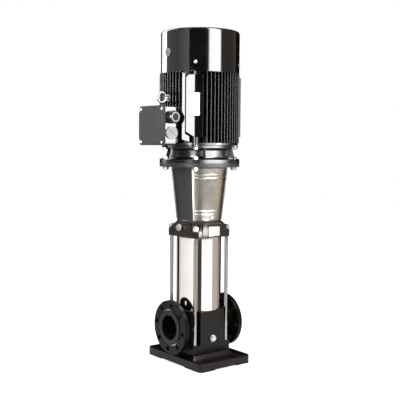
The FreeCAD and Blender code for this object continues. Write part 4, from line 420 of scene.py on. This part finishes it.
# %% Bright metals
METAL_EDGE = 0.6 * MM
METAL_WEAR = 0.35
POLISHED = "ffffff"
LINE_RANGE = (0.35, 0.65)
LINE_STRENGTH = 0.4
SMUDGE_TINT = 0.3
SMUDGE_ROUGH = 0.04
UPRIGHT = (1.0, 1.0, 0.02)
ROUND = (0.02, 0.02, 1.0)
ALONG_X = (0.02, 1.0, 1.0)
EVEN = (1.0, 1.0, 1.0)


def bright_metal(name, base, roughness, stretch, line_scale, rough_lines, depth, tint="b9ada0"):
    """Bare or plated metal. The lines add to its roughness, and their depth is in millimetres."""
    material, tree, shader, where = start(name, base, metallic=1.0, roughness=roughness)
    marks = placed_group(tree, brushed, {"Vector": where}, Stretch=stretch, Scale=line_scale)
    wear = placed_group(tree, edge_wear, {"Vector": where}, Radius=METAL_EDGE, Amount=METAL_WEAR)
    smudged = maths(tree, "MULTIPLY", marks["Smudge"], SMUDGE_TINT)
    colour = blended(tree, smudged, tone(base), tone(tint))
    colour = blended(tree, wear["Edge"], colour, tone(POLISHED))
    tree.links.new(colour, shader.inputs["Base Color"])
    lined = spread(tree, marks["Lines"], *LINE_RANGE, roughness, roughness + rough_lines)
    gloss = maths(tree, "ADD", lined, maths(tree, "MULTIPLY", marks["Smudge"], SMUDGE_ROUGH))
    tree.links.new(gloss, shader.inputs["Roughness"])
    raise_bumps(tree, shader, marks["Lines"], depth * MM, LINE_STRENGTH, wear["Normal"])
    return material


metals = {
    "mirror_stainless": bright_metal("mirror_stainless", "f8f6f3", 0.035, UPRIGHT, 900.0, 0.03, 0.002,
                                     "d5ccc4"),
    "satin_stainless": bright_metal("satin_stainless", "c9c5be", 0.22, EVEN, 700.0, 0.08, 0.02),
    "zinc_steel": bright_metal("zinc_steel", "e4e3df", 0.20, EVEN, 500.0, 0.12, 0.02, "c4c6c8"),
    "machined_steel": bright_metal("machined_steel", "c3c2c0", 0.24, ROUND, 900.0, 0.10, 0.01),
    "stage_stainless": bright_metal("stage_stainless", "cfcac2", 0.30, EVEN, 500.0, 0.12, 0.02),
    "core_steel": bright_metal("core_steel", "6d6c6a", 0.42, ROUND, 1400.0, 0.15, 0.05),
    "plain_plate": bright_metal("plain_plate", "f2f2f0", 0.33, ALONG_X, 900.0, 0.08, 0.01, "dcdcda"),
}
finishes.update(metals)
print("metals", list(metals))

# %% [markdown]
# Rubber, plastic and the inner pieces are quieter, but each still has its grain: rubber is matt with fine
# pores, moulded plastic has a soft spark texture, copper windings show their wires.

# %% Rubber, plastic and windings
MOULDED_EDGE = 0.8 * MM
MOULDED_WEAR = 0.4
CLOUD_RANGE = (0.3, 0.8)
PORE_BELOW = 0.06
PORE_ABOVE = 0.08
PORE_STRENGTH = 0.5
WIRE_DEPTH = 0.3 * MM
WIRE_STRENGTH = 0.8


def moulded(name, base, roughness, grain, depth, lighter):
    """Rubber or plastic. Grain is the scale of its pores, and their depth is in millimetres."""
    material, tree, shader, where = start(name, base, roughness=roughness)
    pores = node(tree, "TexNoise", {"Vector": where}, Scale=grain, Detail=3.0)
    cloud = node(tree, "TexNoise", {"Vector": where}, Scale=30.0, Detail=3.0)
    wear = placed_group(tree, edge_wear, {"Vector": where}, Radius=MOULDED_EDGE, Amount=MOULDED_WEAR)
    colour = blended(tree, spread(tree, cloud.outputs[0], *CLOUD_RANGE), tone(base), tone(lighter))
    colour = blended(tree, wear["Edge"], colour, tone(lighter))
    tree.links.new(colour, shader.inputs["Base Color"])
    gloss = spread(tree, pores.outputs[0], *MOTTLE_RANGE, roughness - PORE_BELOW, roughness + PORE_ABOVE)
    tree.links.new(gloss, shader.inputs["Roughness"])
    raise_bumps(tree, shader, pores.outputs[0], depth * MM, PORE_STRENGTH, wear["Normal"])
    return material


def wound_copper(name):
    material, tree, shader, where = start(name, "9a4e2a", metallic=0.8, roughness=0.35)
    wires = node(tree, "TexWave", {"Vector": where}, Scale=420.0, Distortion=3.0, Detail=2.0)
    colour = blended(tree, wires.outputs["Fac"], tone("5a2a14"), tone("b8683c"))
    tree.links.new(colour, shader.inputs["Base Color"])
    raise_bumps(tree, shader, wires.outputs["Fac"], WIRE_DEPTH, WIRE_STRENGTH)
    return material


quiet_ones = {
    "copper_winding": wound_copper("copper_winding"),
    "black_rubber": moulded("black_rubber", "171716", 0.62, 1500.0, 0.03, "2a2a29"),
    "grey_rubber": moulded("grey_rubber", "4e4c4a", 0.6, 1500.0, 0.03, "6c6866"),
    "black_plastic": moulded("black_plastic", "121213", 0.26, 900.0, 0.02, "2b2b2c"),
    "white_plastic": moulded("white_plastic", "e6e4de", 0.35, 900.0, 0.02, "f2f0ea"),
    "board_plastic": moulded("board_plastic", "7c3b1f", 0.45, 900.0, 0.02, "94502f"),
    "seal_carbon": moulded("seal_carbon", "1b1b1d", 0.3, 1200.0, 0.01, "303033"),
}
finishes.update(quiet_ones)
print("rubber, plastic, windings", list(quiet_ones))

# %% [markdown]
# A few pieces share a slot with others but look different in the photograph, such as the matt lid of the
# terminal box, so a second list gives them a finish of their own. Every other piece takes the finish of its
# slot. A node's mesh may come with a material already, so its list is emptied before the finish goes in.

# %% Every node gets its finish
# The loose port flanges take a darker, less shiny copy of the base's black paint: painted shade, standing in
# for the shade on their faces.
shaded_port_paint = painted_casting("shaded_port_paint", "0b0706", "3c332d", 0.30, 0.12, dusty=0.03, shine=0.16)
own_finishes = {
    "inlet_flange": shaded_port_paint,
    "outlet_flange": shaded_port_paint,
    "terminal_box_cover": painted_casting("lid_paint", "474646", "6f6e6e", 0.7, 0.05, "3c3b3b", shine=0.08),
    "pump_head": painted_casting("head_paint", "221a17", "4a423c", 0.26, 0.10, shine=0.5),
    "drive_end_shield": painted_casting("shield_paint", "121213", "3f3e3d", 0.18, 0.04, shine=0.9),
    "blanking_plug": painted_casting("plug_grey", "a6a6a4", "c4c4c2", 0.45, 0.02, "949492", shine=0.3),
    "cable_gland_disc": painted_casting("disc_grey", "2a2a2a", "5a5a5a", 0.55, 0.02, shine=0.08),
    # The lifting eye takes a darker copy of plain zinc: painted shade, standing in for the dimmer light that
    # it mirrors.
    "lifting_eye": bright_metal("shaded_eye_zinc", "8f8f8d", 0.34, EVEN, 500.0, 0.12, 0.02, "7a7a7a"),
    "tie_rods": bright_metal("rod_steel", "b4b1ad", 0.09, UPRIGHT, 90.0, 0.06, 0.001, "9a9894"),
    "filling_plug": bright_metal("plug_zinc", "dedcd9", 0.30, EVEN, 500.0, 0.12, 0.02, "a8a6a4"),
}
missing = sorted(set(slot_of.values()) - set(finishes))
print("finishes", len(finishes), "own finishes", len(own_finishes), "slots without one", missing)
finish_of = {name: own_finishes.get(name, finishes[slot_of[name]]) for name in frame["nodes"]}
for name, obj in frame["nodes"].items():
    obj.data.materials.clear()
    obj.data.materials.append(finish_of[name])

# %% [markdown]
# The engineering meshes are loose flat triangles, which is right for sizes but shows every facet in a glossy
# finish. For each node that can be seen from outside, a copy is joined up: its doubled points are merged,
# faces without area are cleared away, and only the edges that turn sharply stay sharp. The copy has the same
# shape to within two micrometres, and stands for the node.

# %% Smooth skins
MERGE = 0.002 * MM
SHARP = math.radians(28)


def soften(shape, sharp):
    """Shade the faces smooth, but keep open edges and edges that turn by more than the given angle sharp."""
    for face in shape.faces:
        face.smooth = True
    for edge in shape.edges:
        edge.smooth = edge.is_manifold and edge.calc_face_angle(0.0) < sharp


def new_object(name, shape):
    """Turn a bmesh into an object of the scene, placed at the origin."""
    mesh = bpy.data.meshes.new(name)
    shape.to_mesh(mesh)
    shape.free()
    made = bpy.data.objects.new(name, mesh)
    bpy.context.scene.collection.objects.link(made)
    return made


def smooth_skin(name):
    """A joined copy of a node with smooth shading, which stands for it."""
    shape = bmesh.new()
    shape.from_mesh(frame["nodes"][name].data)
    bmesh.ops.remove_doubles(shape, verts=shape.verts, dist=MERGE)
    bmesh.ops.dissolve_degenerate(shape, edges=shape.edges, dist=MERGE)
    soften(shape, SHARP)
    piece = new_object(name + "_skin", shape)
    piece.data.materials.append(finish_of[name])
    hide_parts(name)
    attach(piece, body_of[name])
    return piece


hidden_inside = {
    "sleeve_orings", "suction_inlet", "stage_chambers", "bearing_bushes", "neck_rings", "chamber_cap",
    "impellers", "shaft_spacers", "impeller_nut", "seal_seat", "seal_head", "bearing_outer_rings",
    "bearing_inner_rings", "stator_core", "stator_windings", "rotor_core", "terminal_board",
}
skins = {name: smooth_skin(name) for name in frame["nodes"] if name not in hidden_inside}
faces = sum(len(piece.data.polygons) for piece in skins.values())
print("skins", len(skins), "faces", faces)

# %% [markdown]
# Thin things that the engineering model leaves out are added next, as pieces of their own. A few tools make
# them: one pushes a face out to a solid, one makes a slab with broken edges from an outline, and one gives a
# shape its finish and lets it ride on a body. A slab's outline is read as steps sideways and upward from a
# base point, so one outline can face any way.

# %% Tools for thin pieces
FLAT_SHARP = math.radians(10)
SLAB_EDGE = 0.5 * MM


def finished_piece(name, shape, slot, body, sharp=FLAT_SHARP):
    """Turn a bmesh into an object with its finish, riding on its body."""
    soften(shape, sharp)
    piece = new_object(name, shape)
    piece.data.materials.append(finishes[slot])
    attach(piece, body)


def thick_face(corners, push):
    """A bmesh of one face through the corners, pushed out to a solid."""
    shape = bmesh.new()
    face = shape.faces.new([shape.verts.new(corner) for corner in corners])
    grown = bmesh.ops.extrude_face_region(shape, geom=[face])["geom"]
    front = [item for item in grown if isinstance(item, bmesh.types.BMVert)]
    bmesh.ops.translate(shape, verts=front, vec=push)
    bmesh.ops.recalc_face_normals(shape, faces=shape.faces)
    return shape


def slab(outline, base, side, out, thickness, edge=SLAB_EDGE):
    """A flat piece: an outline of (sideways, upward) points, made thick and broken at its edges."""
    corners = [base + side * across + AXIS * up for across, up in outline]
    shape = thick_face(corners, out * thickness)
    bmesh.ops.bevel(shape, geom=list(shape.edges), offset=edge, segments=2, profile=0.5,
                    affect="EDGES", material=-1)
    return shape


def rectangle(left, foot, right, top):
    """The outline of an upright rectangle."""
    return [(left, foot), (right, foot), (right, top), (left, top)]


# %% [markdown]
# The rating plate lies on a pad that reaches over the ribs beside it. The pad has two facets with an upright
# ridge between them, so one facet mirrors a light strip of the studio while the other stays dark. Everything
# is measured from the middle of the plate: outward is the way it faces, and sideways runs along it.

# %% Pad of the rating plate
PLATE_THICKNESS = 1.2 * MM
PLATE_GAP = 0.2 * MM
PAD_LEFT = 37 * MM
PAD_RIGHT = 35 * MM
PAD_TOP = 123 * MM
PAD_FOOT = 136 * MM
PAD_CUT_HIGH = 114 * MM
PAD_CUT = 12 * MM
PAD_THICKNESS = 10 * MM
PAD_TILT = math.radians(3)

plate_low, plate_high, plate_middle = place("rating_plate")
outward = Vector((plate_middle.x, plate_middle.y, 0)).normalized()
sideways = AXIS.cross(outward)
pad_halves = {
    "left": (-PAD_TILT, [(-PAD_LEFT, -PAD_CUT_HIGH), (0.0, -PAD_FOOT), (0.0, PAD_TOP),
                         (PAD_CUT - PAD_LEFT, PAD_TOP), (-PAD_LEFT, PAD_TOP - PAD_CUT)]),
    "right": (PAD_TILT, rectangle(0.0, -PAD_FOOT, PAD_RIGHT, PAD_TOP)),
}
pad_ridge = plate_middle - outward * (PLATE_THICKNESS / 2 + PLATE_GAP)


def facet(outline, tilt, depth, thickness):
    """A slab that faces outward with a small tilt, its back the given depth below the ridge."""
    facing = Matrix.Rotation(tilt, 3, "Z") @ outward
    return slab(outline, pad_ridge - facing * depth, AXIS.cross(facing), facing, thickness)


for half, (tilt, outline) in pad_halves.items():
    finished_piece("rating_plate_pad_" + half, facet(outline, tilt, PAD_THICKNESS, PAD_THICKNESS),
                   "cover_paint", body_of["motor_frame"])
print("pad ridge", [round(value, 4) for value in pad_ridge])

# %% [markdown]
# A broad rib stands beside the pad, on the tips of two fins, and ends in a small toe that reaches under the
# pad. It is a slab like the left facet of the pad, with the same tilt, and lies a little further back.

# %% Broad rib beside the pad
RIB_NEAR = 42 * MM
RIB_FAR = 55 * MM
RIB_TOP = 135 * MM
RIB_FOOT = 146 * MM
RIB_DEPTH = 20 * MM
RIB_THICKNESS = 13 * MM
RIB_TOE = 23 * MM
RIB_TOE_DROP = 11 * MM
RIB_TOE_RISE = 13 * MM
RIB_INNER_RISE = 24 * MM
rib_outline = [
    (-RIB_FAR, -RIB_FOOT), (-RIB_TOE, -RIB_FOOT - RIB_TOE_DROP), (-RIB_TOE, -RIB_FOOT + RIB_TOE_RISE),
    (-RIB_NEAR, -RIB_FOOT + RIB_INNER_RISE), (-RIB_NEAR, RIB_TOP), (-RIB_FAR, RIB_TOP),
]
finished_piece("frame_broad_rib", facet(rib_outline, -PAD_TILT, RIB_DEPTH, RIB_THICKNESS),
               "cover_paint", body_of["motor_frame"])
print("rib is wide", round(RIB_FAR - RIB_NEAR, 4), "and high", round(RIB_TOP + RIB_FOOT, 4))

# %% [markdown]
# Four rivets hold the plate, one near each corner. Each is a small ball that lies half sunk in the front of
# the plate, so that its dome catches a spark of light.

# %% Rivets of the rating plate
RIVET_RADIUS = 1.9 * MM
RIVET_INSET = 5 * MM
rivets = bmesh.new()
half_width = (plate_high - plate_low).xy.length / 2
half_height = (plate_high.z - plate_low.z) / 2
rivet_across = sideways * (half_width - RIVET_INSET)
rivet_up = AXIS * (half_height - RIVET_INSET)
for across in (-1, 1):
    for up in (-1, 1):
        spot = plate_middle + outward * PLATE_THICKNESS / 2 + rivet_across * across + rivet_up * up
        bmesh.ops.create_uvsphere(rivets, u_segments=16, v_segments=8, radius=RIVET_RADIUS,
                                  matrix=Matrix.Translation(spot))
finished_piece("rating_plate_rivets", rivets, "zinc_steel", body_of["motor_frame"], SHARP)
print("half plate", round(half_width, 4), round(half_height, 4))

# %% [markdown]
# The coupling guards are sheet with folded edges. The fold catches the light as one clean line from top to
# bottom, so each upright edge gets a narrow polished band. Its ends are found in the guard's own mesh: the
# corners that lie farthest round to one side, near the top and near the bottom.

# %% Folded edges of the guards
FOLD_WIDTH = 6.5 * MM
FOLD_THICKNESS = 0.8 * MM
FOLD_INSET = 6 * MM


def fold_line(name, way):
    """Lower and upper end of a guard's edge, on the given side of its middle."""
    low, high, middle = place(name)
    front = Vector((0, middle.y, 0)).normalized()
    across = AXIS.cross(front) * way
    points = [vertex.co for vertex in frame["nodes"][name].data.vertices]
    lower = max((point for point in points if point.z < low.z + FOLD_INSET), key=across.dot)
    upper = max((point for point in points if point.z > high.z - FOLD_INSET), key=across.dot)
    return lower, upper


def fold_band(name, way):
    """A thin band along that edge, turned to face outward."""
    lower, upper = fold_line(name, way)
    flat = Vector((lower.x, lower.y, 0)).normalized()
    rise = (upper - lower).normalized()
    side = rise.cross(flat).normalized() * -way
    facing = side.cross(rise).normalized()
    facing = facing if facing.dot(flat) > 0 else -facing
    corners = (lower, lower + side * FOLD_WIDTH, upper + side * FOLD_WIDTH, upper)
    return thick_face(corners, facing * FOLD_THICKNESS)


for guard in ("coupling_guard_front", "coupling_guard_rear"):
    for side_name, way in (("left", -1), ("right", 1)):
        finished_piece(f"{guard}_fold_{side_name}", fold_band(guard, way), "mirror_stainless",
                       body_of[guard])
print("fold from", [[round(value, 4) for value in spot] for spot in fold_line("coupling_guard_front", -1)])

# %% [markdown]
# A rubber gasket seals the lid of the terminal box. It looks out by half a millimetre all round, as a thin
# matt line between the box and the lid.

# %% Gasket of the terminal box
GASKET = 1.6 * MM
GASKET_OUT = 0.5 * MM
GASKET_EDGE = 0.3 * MM
lid_low, lid_high, lid_middle = place("terminal_box_cover")
half_y = (lid_high.y - lid_low.y) / 2 + GASKET_OUT
half_z = (lid_high.z - lid_low.z) / 2 + GASKET_OUT
gasket_outline = rectangle(-half_y, -half_z, half_y, half_z)
gasket_back = Vector((lid_high.x + GASKET / 2, lid_middle.y, lid_middle.z))
gasket = slab(gasket_outline, gasket_back, Vector((0, -1, 0)), Vector((-1, 0, 0)), GASKET, GASKET_EDGE)
finished_piece("terminal_box_gasket", gasket, "black_rubber", body_of["terminal_box"])
print("gasket at x", round(gasket_back.x, 4))

# %% [markdown]
# The studio is plain: a pale floor and a white surround. The surround is full white to the camera and in
# mirrors, and gives a soft, weaker light from all sides. The floor glows a little for the camera alone, so
# that it runs into the background without an edge.

# %% Floor and surround
FLOOR_RADIUS = 9.0
FLOOR_STEPS = 96
FLOOR_GLOW = 0.5
SKY_LIGHT = 0.62
WHITE = (1, 1, 1, 1)


def make_floor():
    shape = bmesh.new()
    bmesh.ops.create_circle(shape, cap_ends=True, segments=FLOOR_STEPS, radius=FLOOR_RADIUS)
    floor = new_object("studio_floor", shape)
    material, tree, shader, _ = start("floor_white", "f4f4f4", roughness=0.9)
    light_path = node(tree, "LightPath").outputs
    shown = maths(tree, "MULTIPLY", light_path["Is Camera Ray"], FLOOR_GLOW)
    shader.inputs["Emission Color"].default_value = WHITE
    tree.links.new(shown, shader.inputs["Emission Strength"])
    floor.data.materials.append(material)


def make_surround():
    world = bpy.data.worlds.new("studio_white")
    bpy.context.scene.world = world
    world.use_nodes = True
    tree = world.node_tree
    background = tree.nodes["Background"]
    background.inputs["Color"].default_value = WHITE
    path = node(tree, "LightPath").outputs
    seen = maths(tree, "MAXIMUM", path["Is Camera Ray"], path["Is Glossy Ray"])
    seen = maths(tree, "MAXIMUM", seen, path["Is Transmission Ray"])
    strength = spread(tree, seen, 0.0, 1.0, SKY_LIGHT, 1.0)
    tree.links.new(strength, background.inputs["Strength"])


make_floor()
make_surround()
print("floor radius", FLOOR_RADIUS, "light of the surround", SKY_LIGHT)

# %% [markdown]
# Photographers shape a glossy round object with what it mirrors: tall light strips draw its white bands, and
# dark cards beside and behind it draw its black edges. Here a ring wall stands round the pump, and only
# mirror-like rays can see it, so it gives no soft light and no shadow. The wall has five storeys, because the
# cover, the motor, its flange, the guards and the sleeve each mirror another height, and each wants other
# strips. A list of strips has a stop wherever the light changes: the angle from the camera's direction, the
# screen colour and the brightness. A storey is the height of its foot, that of its top, and its strips.

# %% The strips of each storey
COVER_STRIPS = [
    (-180, "000000", 0.0), (-138, "000000", 0.0), (-134, "ffffff", 6.0), (-107, "ffffff", 17.0),
    (-105, "f4f0ea", 0.9), (-62, "f4f0ea", 0.95), (-32, "fff6ee", 2.0), (-29, "fff6ee", 2.0),
    (-27, "202428", 0.03), (10, "202428", 0.05), (20, "c8d8e8", 0.5), (23, "ffffff", 10.0),
    (25, "ffffff", 24.0), (54, "ffffff", 24.0), (57, "e8dccf", 0.6), (90, "e0c8b4", 0.45),
    (112, "e0c8b4", 0.6), (120, "000000", 0.0),
]
MOTOR_STRIPS = [
    (-180, "000000", 0.0), (-108, "202020", 0.05), (-103, "ffffff", 5.5), (-88, "ffffff", 5.5),
    (-85, "dddddd", 0.5), (-40, "dddddd", 0.6), (-31, "ffffff", 0.8), (-30, "ffffff", 24.0),
    (-14, "ffffff", 24.0), (-13.5, "202020", 0.1), (16, "404040", 0.5), (24, "ffffff", 5.0),
    (44, "ffffff", 7.5), (54, "ffffff", 24.0), (61, "ffffff", 24.0), (62.5, "202020", 0.4),
    (64, "e2e0e8", 5.0), (84, "e2e0e8", 5.0), (96, "9a90a0", 0.6), (118, "202020", 0.1),
    (130, "000000", 0.0),
]
FLANGE_STRIPS = [
    (-180, "000000", 0.0), (-134, "000000", 0.0), (-112, "ffffff", 2.5), (-92, "808080", 0.9),
    (-60, "808080", 0.5), (-4, "808080", 0.7), (8, "ffffff", 2.5), (22, "ffffff", 13.0),
    (54, "ffffff", 14.0), (74, "ffffff", 4.0), (84, "a09890", 0.8), (118, "a09890", 0.8),
    (132, "000000", 0.0),
]
GUARD_STRIPS = [
    (-180, "000000", 0.0), (-128, "000000", 0.0), (-110, "c0bcb4", 0.5), (-62, "c0bcb4", 0.9),
    (-36, "e8e8e4", 1.2), (-27, "ffffff", 2.6), (-23, "ffffff", 2.2), (-19, "c4c4be", 0.45),
    (10, "b8b5ae", 0.28), (30, "c8c1b6", 0.10), (50, "dcd2c4", 0.14), (66, "e8dccd", 0.55),
    (85, "ecdccc", 0.85), (104, "ecd8c6", 0.85), (120, "6a5a4e", 0.2), (130, "000000", 0.0),
]
SLEEVE_STRIPS = [
    (-180, "000000", 0.0), (-120, "0c0c08", 0.02), (-115, "c8c6bc", 0.85), (-100, "f2f0ec", 0.96),
    (-60, "fbfaf8", 1.04), (-30, "fdfcfa", 1.10), (-12, "f0ece8", 1.0), (-9, "4f443d", 0.68),
    (13, "4f443d", 0.82), (15, "ffffff", 1.3), (68, "ffffff", 1.3), (71, "ccbfb4", 0.90),
    (112, "c0b2a6", 0.90), (117, "0c0a08", 0.02),
]
storeys = {
    "sleeve_storey": (0.001, 0.452, SLEEVE_STRIPS),
    "guard_storey": (0.452, 0.825, GUARD_STRIPS),
    "flange_storey": (0.825, 0.955, FLANGE_STRIPS),
    "motor_storey": (0.955, 1.310, MOTOR_STRIPS),
    "cover_storey": (1.310, 2.6, COVER_STRIPS),
}
print("stops of each storey", {name: len(stops) for name, (low, high, stops) in storeys.items()})

# %% [markdown]
# A storey's wall is one upright edge spun round the axis. Its material turns the object coordinates into an
# angle, and two colour ramps read colour and brightness at that angle. A ramp holds values up to one, so the
# brightness is stored as a share of the brightest strip and multiplied again behind the ramp.

# %% The ring
RING_RADIUS = 0.85
RING_STEPS = 120
CAMERA_ANGLE = math.degrees(VIEW_AZIMUTH) - 90
BRIGHTEST = 24.0


def mirror_only(name, shape, **sockets):
    """A thing that only mirror-like rays can see: the object, and what its material starts with."""
    thing = new_object(name, shape)
    material, tree, shader, where = start(name, "000000", roughness=1.0, **sockets)
    thing.data.materials.append(material)
    thing.visible_camera = False
    thing.visible_diffuse = False
    thing.visible_transmission = False
    thing.visible_shadow = False
    return thing, tree, shader, where


def turn_share(angle):
    """Where an angle of -180 to 180 degrees stands on a ramp from 0 to 1."""
    return (angle + 180) / 360


def ramp_of(tree, factor, stops):
    """Colour ramp with one stop for each (angle, colour) pair."""
    made = node(tree, "ValToRGB", {"Fac": factor})
    ramp = made.color_ramp
    for angle, colour in stops[1:-1]:
        ramp.elements.new(turn_share(angle)).color = colour
    ramp.elements[0].color = stops[0][1]
    ramp.elements[len(stops) - 1].color = stops[-1][1]
    ramp.elements[len(stops) - 1].position = turn_share(stops[-1][0])
    return made.outputs[0]


def make_storey(name, low, high, stops):
    shape = bmesh.new()
    foot = Vector((RING_RADIUS, 0, low))
    ends = [shape.verts.new(foot), shape.verts.new(foot + AXIS * (high - low))]
    edge = shape.edges.new(ends)
    bmesh.ops.spin(shape, geom=ends + [edge], cent=(0, 0, 0), axis=AXIS, angle=2 * math.pi,
                   steps=RING_STEPS, use_merge=True)
    wall, tree, shader, where = mirror_only(name, shape, Specular_IOR_Level=0.0)
    turned = node(tree, "VectorRotate", {"Vector": where}, rotation_type="Z_AXIS",
                  Angle=-math.radians(CAMERA_ANGLE))
    across = node(tree, "SeparateXYZ", {"Vector": turned.outputs[0]})
    angle = maths(tree, "ARCTAN2", across.outputs["Y"], across.outputs["X"])
    share = spread(tree, angle, -math.pi, math.pi)
    colours = [(at, tone(code)) for at, code, bright in stops]
    levels = [(at, (*[bright / BRIGHTEST] * 3, 1.0)) for at, code, bright in stops]
    tree.links.new(ramp_of(tree, share, colours), shader.inputs["Emission Color"])
    level = maths(tree, "MULTIPLY", ramp_of(tree, share, levels), BRIGHTEST)
    tree.links.new(level, shader.inputs["Emission Strength"])


for name, (low, high, stops) in storeys.items():
    make_storey(name, low, high, stops)
    print(name, "stands from", low, "to", high)

# %% [markdown]
# One small card stands close to the pump head and puts a light patch on its front face, beside the plate. It
# stands so near and so low that the guards above mirror little of it. It is a slab, like the pad.

# %% The card at the head
HEAD_CARD_LEFT = -52 * MM
HEAD_CARD_RIGHT = 8 * MM
HEAD_CARD_LOW = 16 * MM
HEAD_CARD_HIGH = 54 * MM
HEAD_CARD_AWAY = 50 * MM
HEAD_CARD_THICKNESS = 2 * MM
HEAD_CARD_COLOUR = "fff4ee"
HEAD_CARD_STRENGTH = 22.0
head_low, _, _ = place("pump_head")
card_outline = rectangle(HEAD_CARD_LEFT, HEAD_CARD_LOW, HEAD_CARD_RIGHT, HEAD_CARD_HIGH)
card_back = Vector((0, head_low.y - HEAD_CARD_AWAY, head_low.z))
card_shape = slab(card_outline, card_back, Vector((1, 0, 0)), Vector((0, -1, 0)), HEAD_CARD_THICKNESS)
head_card, _, card_shader, _ = mirror_only("head_card", card_shape)
card_shader.inputs["Emission Color"].default_value = tone(HEAD_CARD_COLOUR)
card_shader.inputs["Emission Strength"].default_value = HEAD_CARD_STRENGTH
print("head card at", [round(value, 3) for value in card_back])

# %% [markdown]
# Three area lamps add their light to that of the surround: a key from the upper left, a softer fill from the
# right, and a light from above that rims the covers. They are hidden from the camera, and because the ring
# takes over their reflections, from mirror-like rays as well.

# %% Lamps
LAMP_TARGET = Vector((0, 0, 0.7))
LAMP_UPRIGHT = 1.4


def make_lamp(name, angle, distance, height, size, power):
    """An area lamp, placed by its angle from the camera's direction and aimed at the middle of the pump."""
    data = bpy.data.lights.new(name, "AREA")
    data.shape = "RECTANGLE"
    data.size = size
    data.size_y = size * LAMP_UPRIGHT
    data.energy = power
    lamp = bpy.data.objects.new(name, data)
    bpy.context.scene.collection.objects.link(lamp)
    turn = math.radians(CAMERA_ANGLE + angle)
    spot = Vector((distance * math.cos(turn), distance * math.sin(turn), height))
    aim = (LAMP_TARGET - spot).to_track_quat("-Z", "Y")
    lamp.matrix_world = Matrix.Translation(spot) @ aim.to_matrix().to_4x4()
    lamp.visible_camera = False
    lamp.visible_glossy = False


make_lamp("key_lamp", angle=-62, distance=3.2, height=2.6, size=1.6, power=75)
make_lamp("fill_lamp", angle=58, distance=3.2, height=1.8, size=1.8, power=50)
make_lamp("top_lamp", angle=10, distance=0.6, height=4.2, size=2.2, power=60)
print("lamps", [light.name for light in bpy.data.lights])

# %% [markdown]
# Last, the view transform is set to Standard, so that white stays white.

# %% Finish
bpy.context.scene.view_settings.view_transform = "Standard"
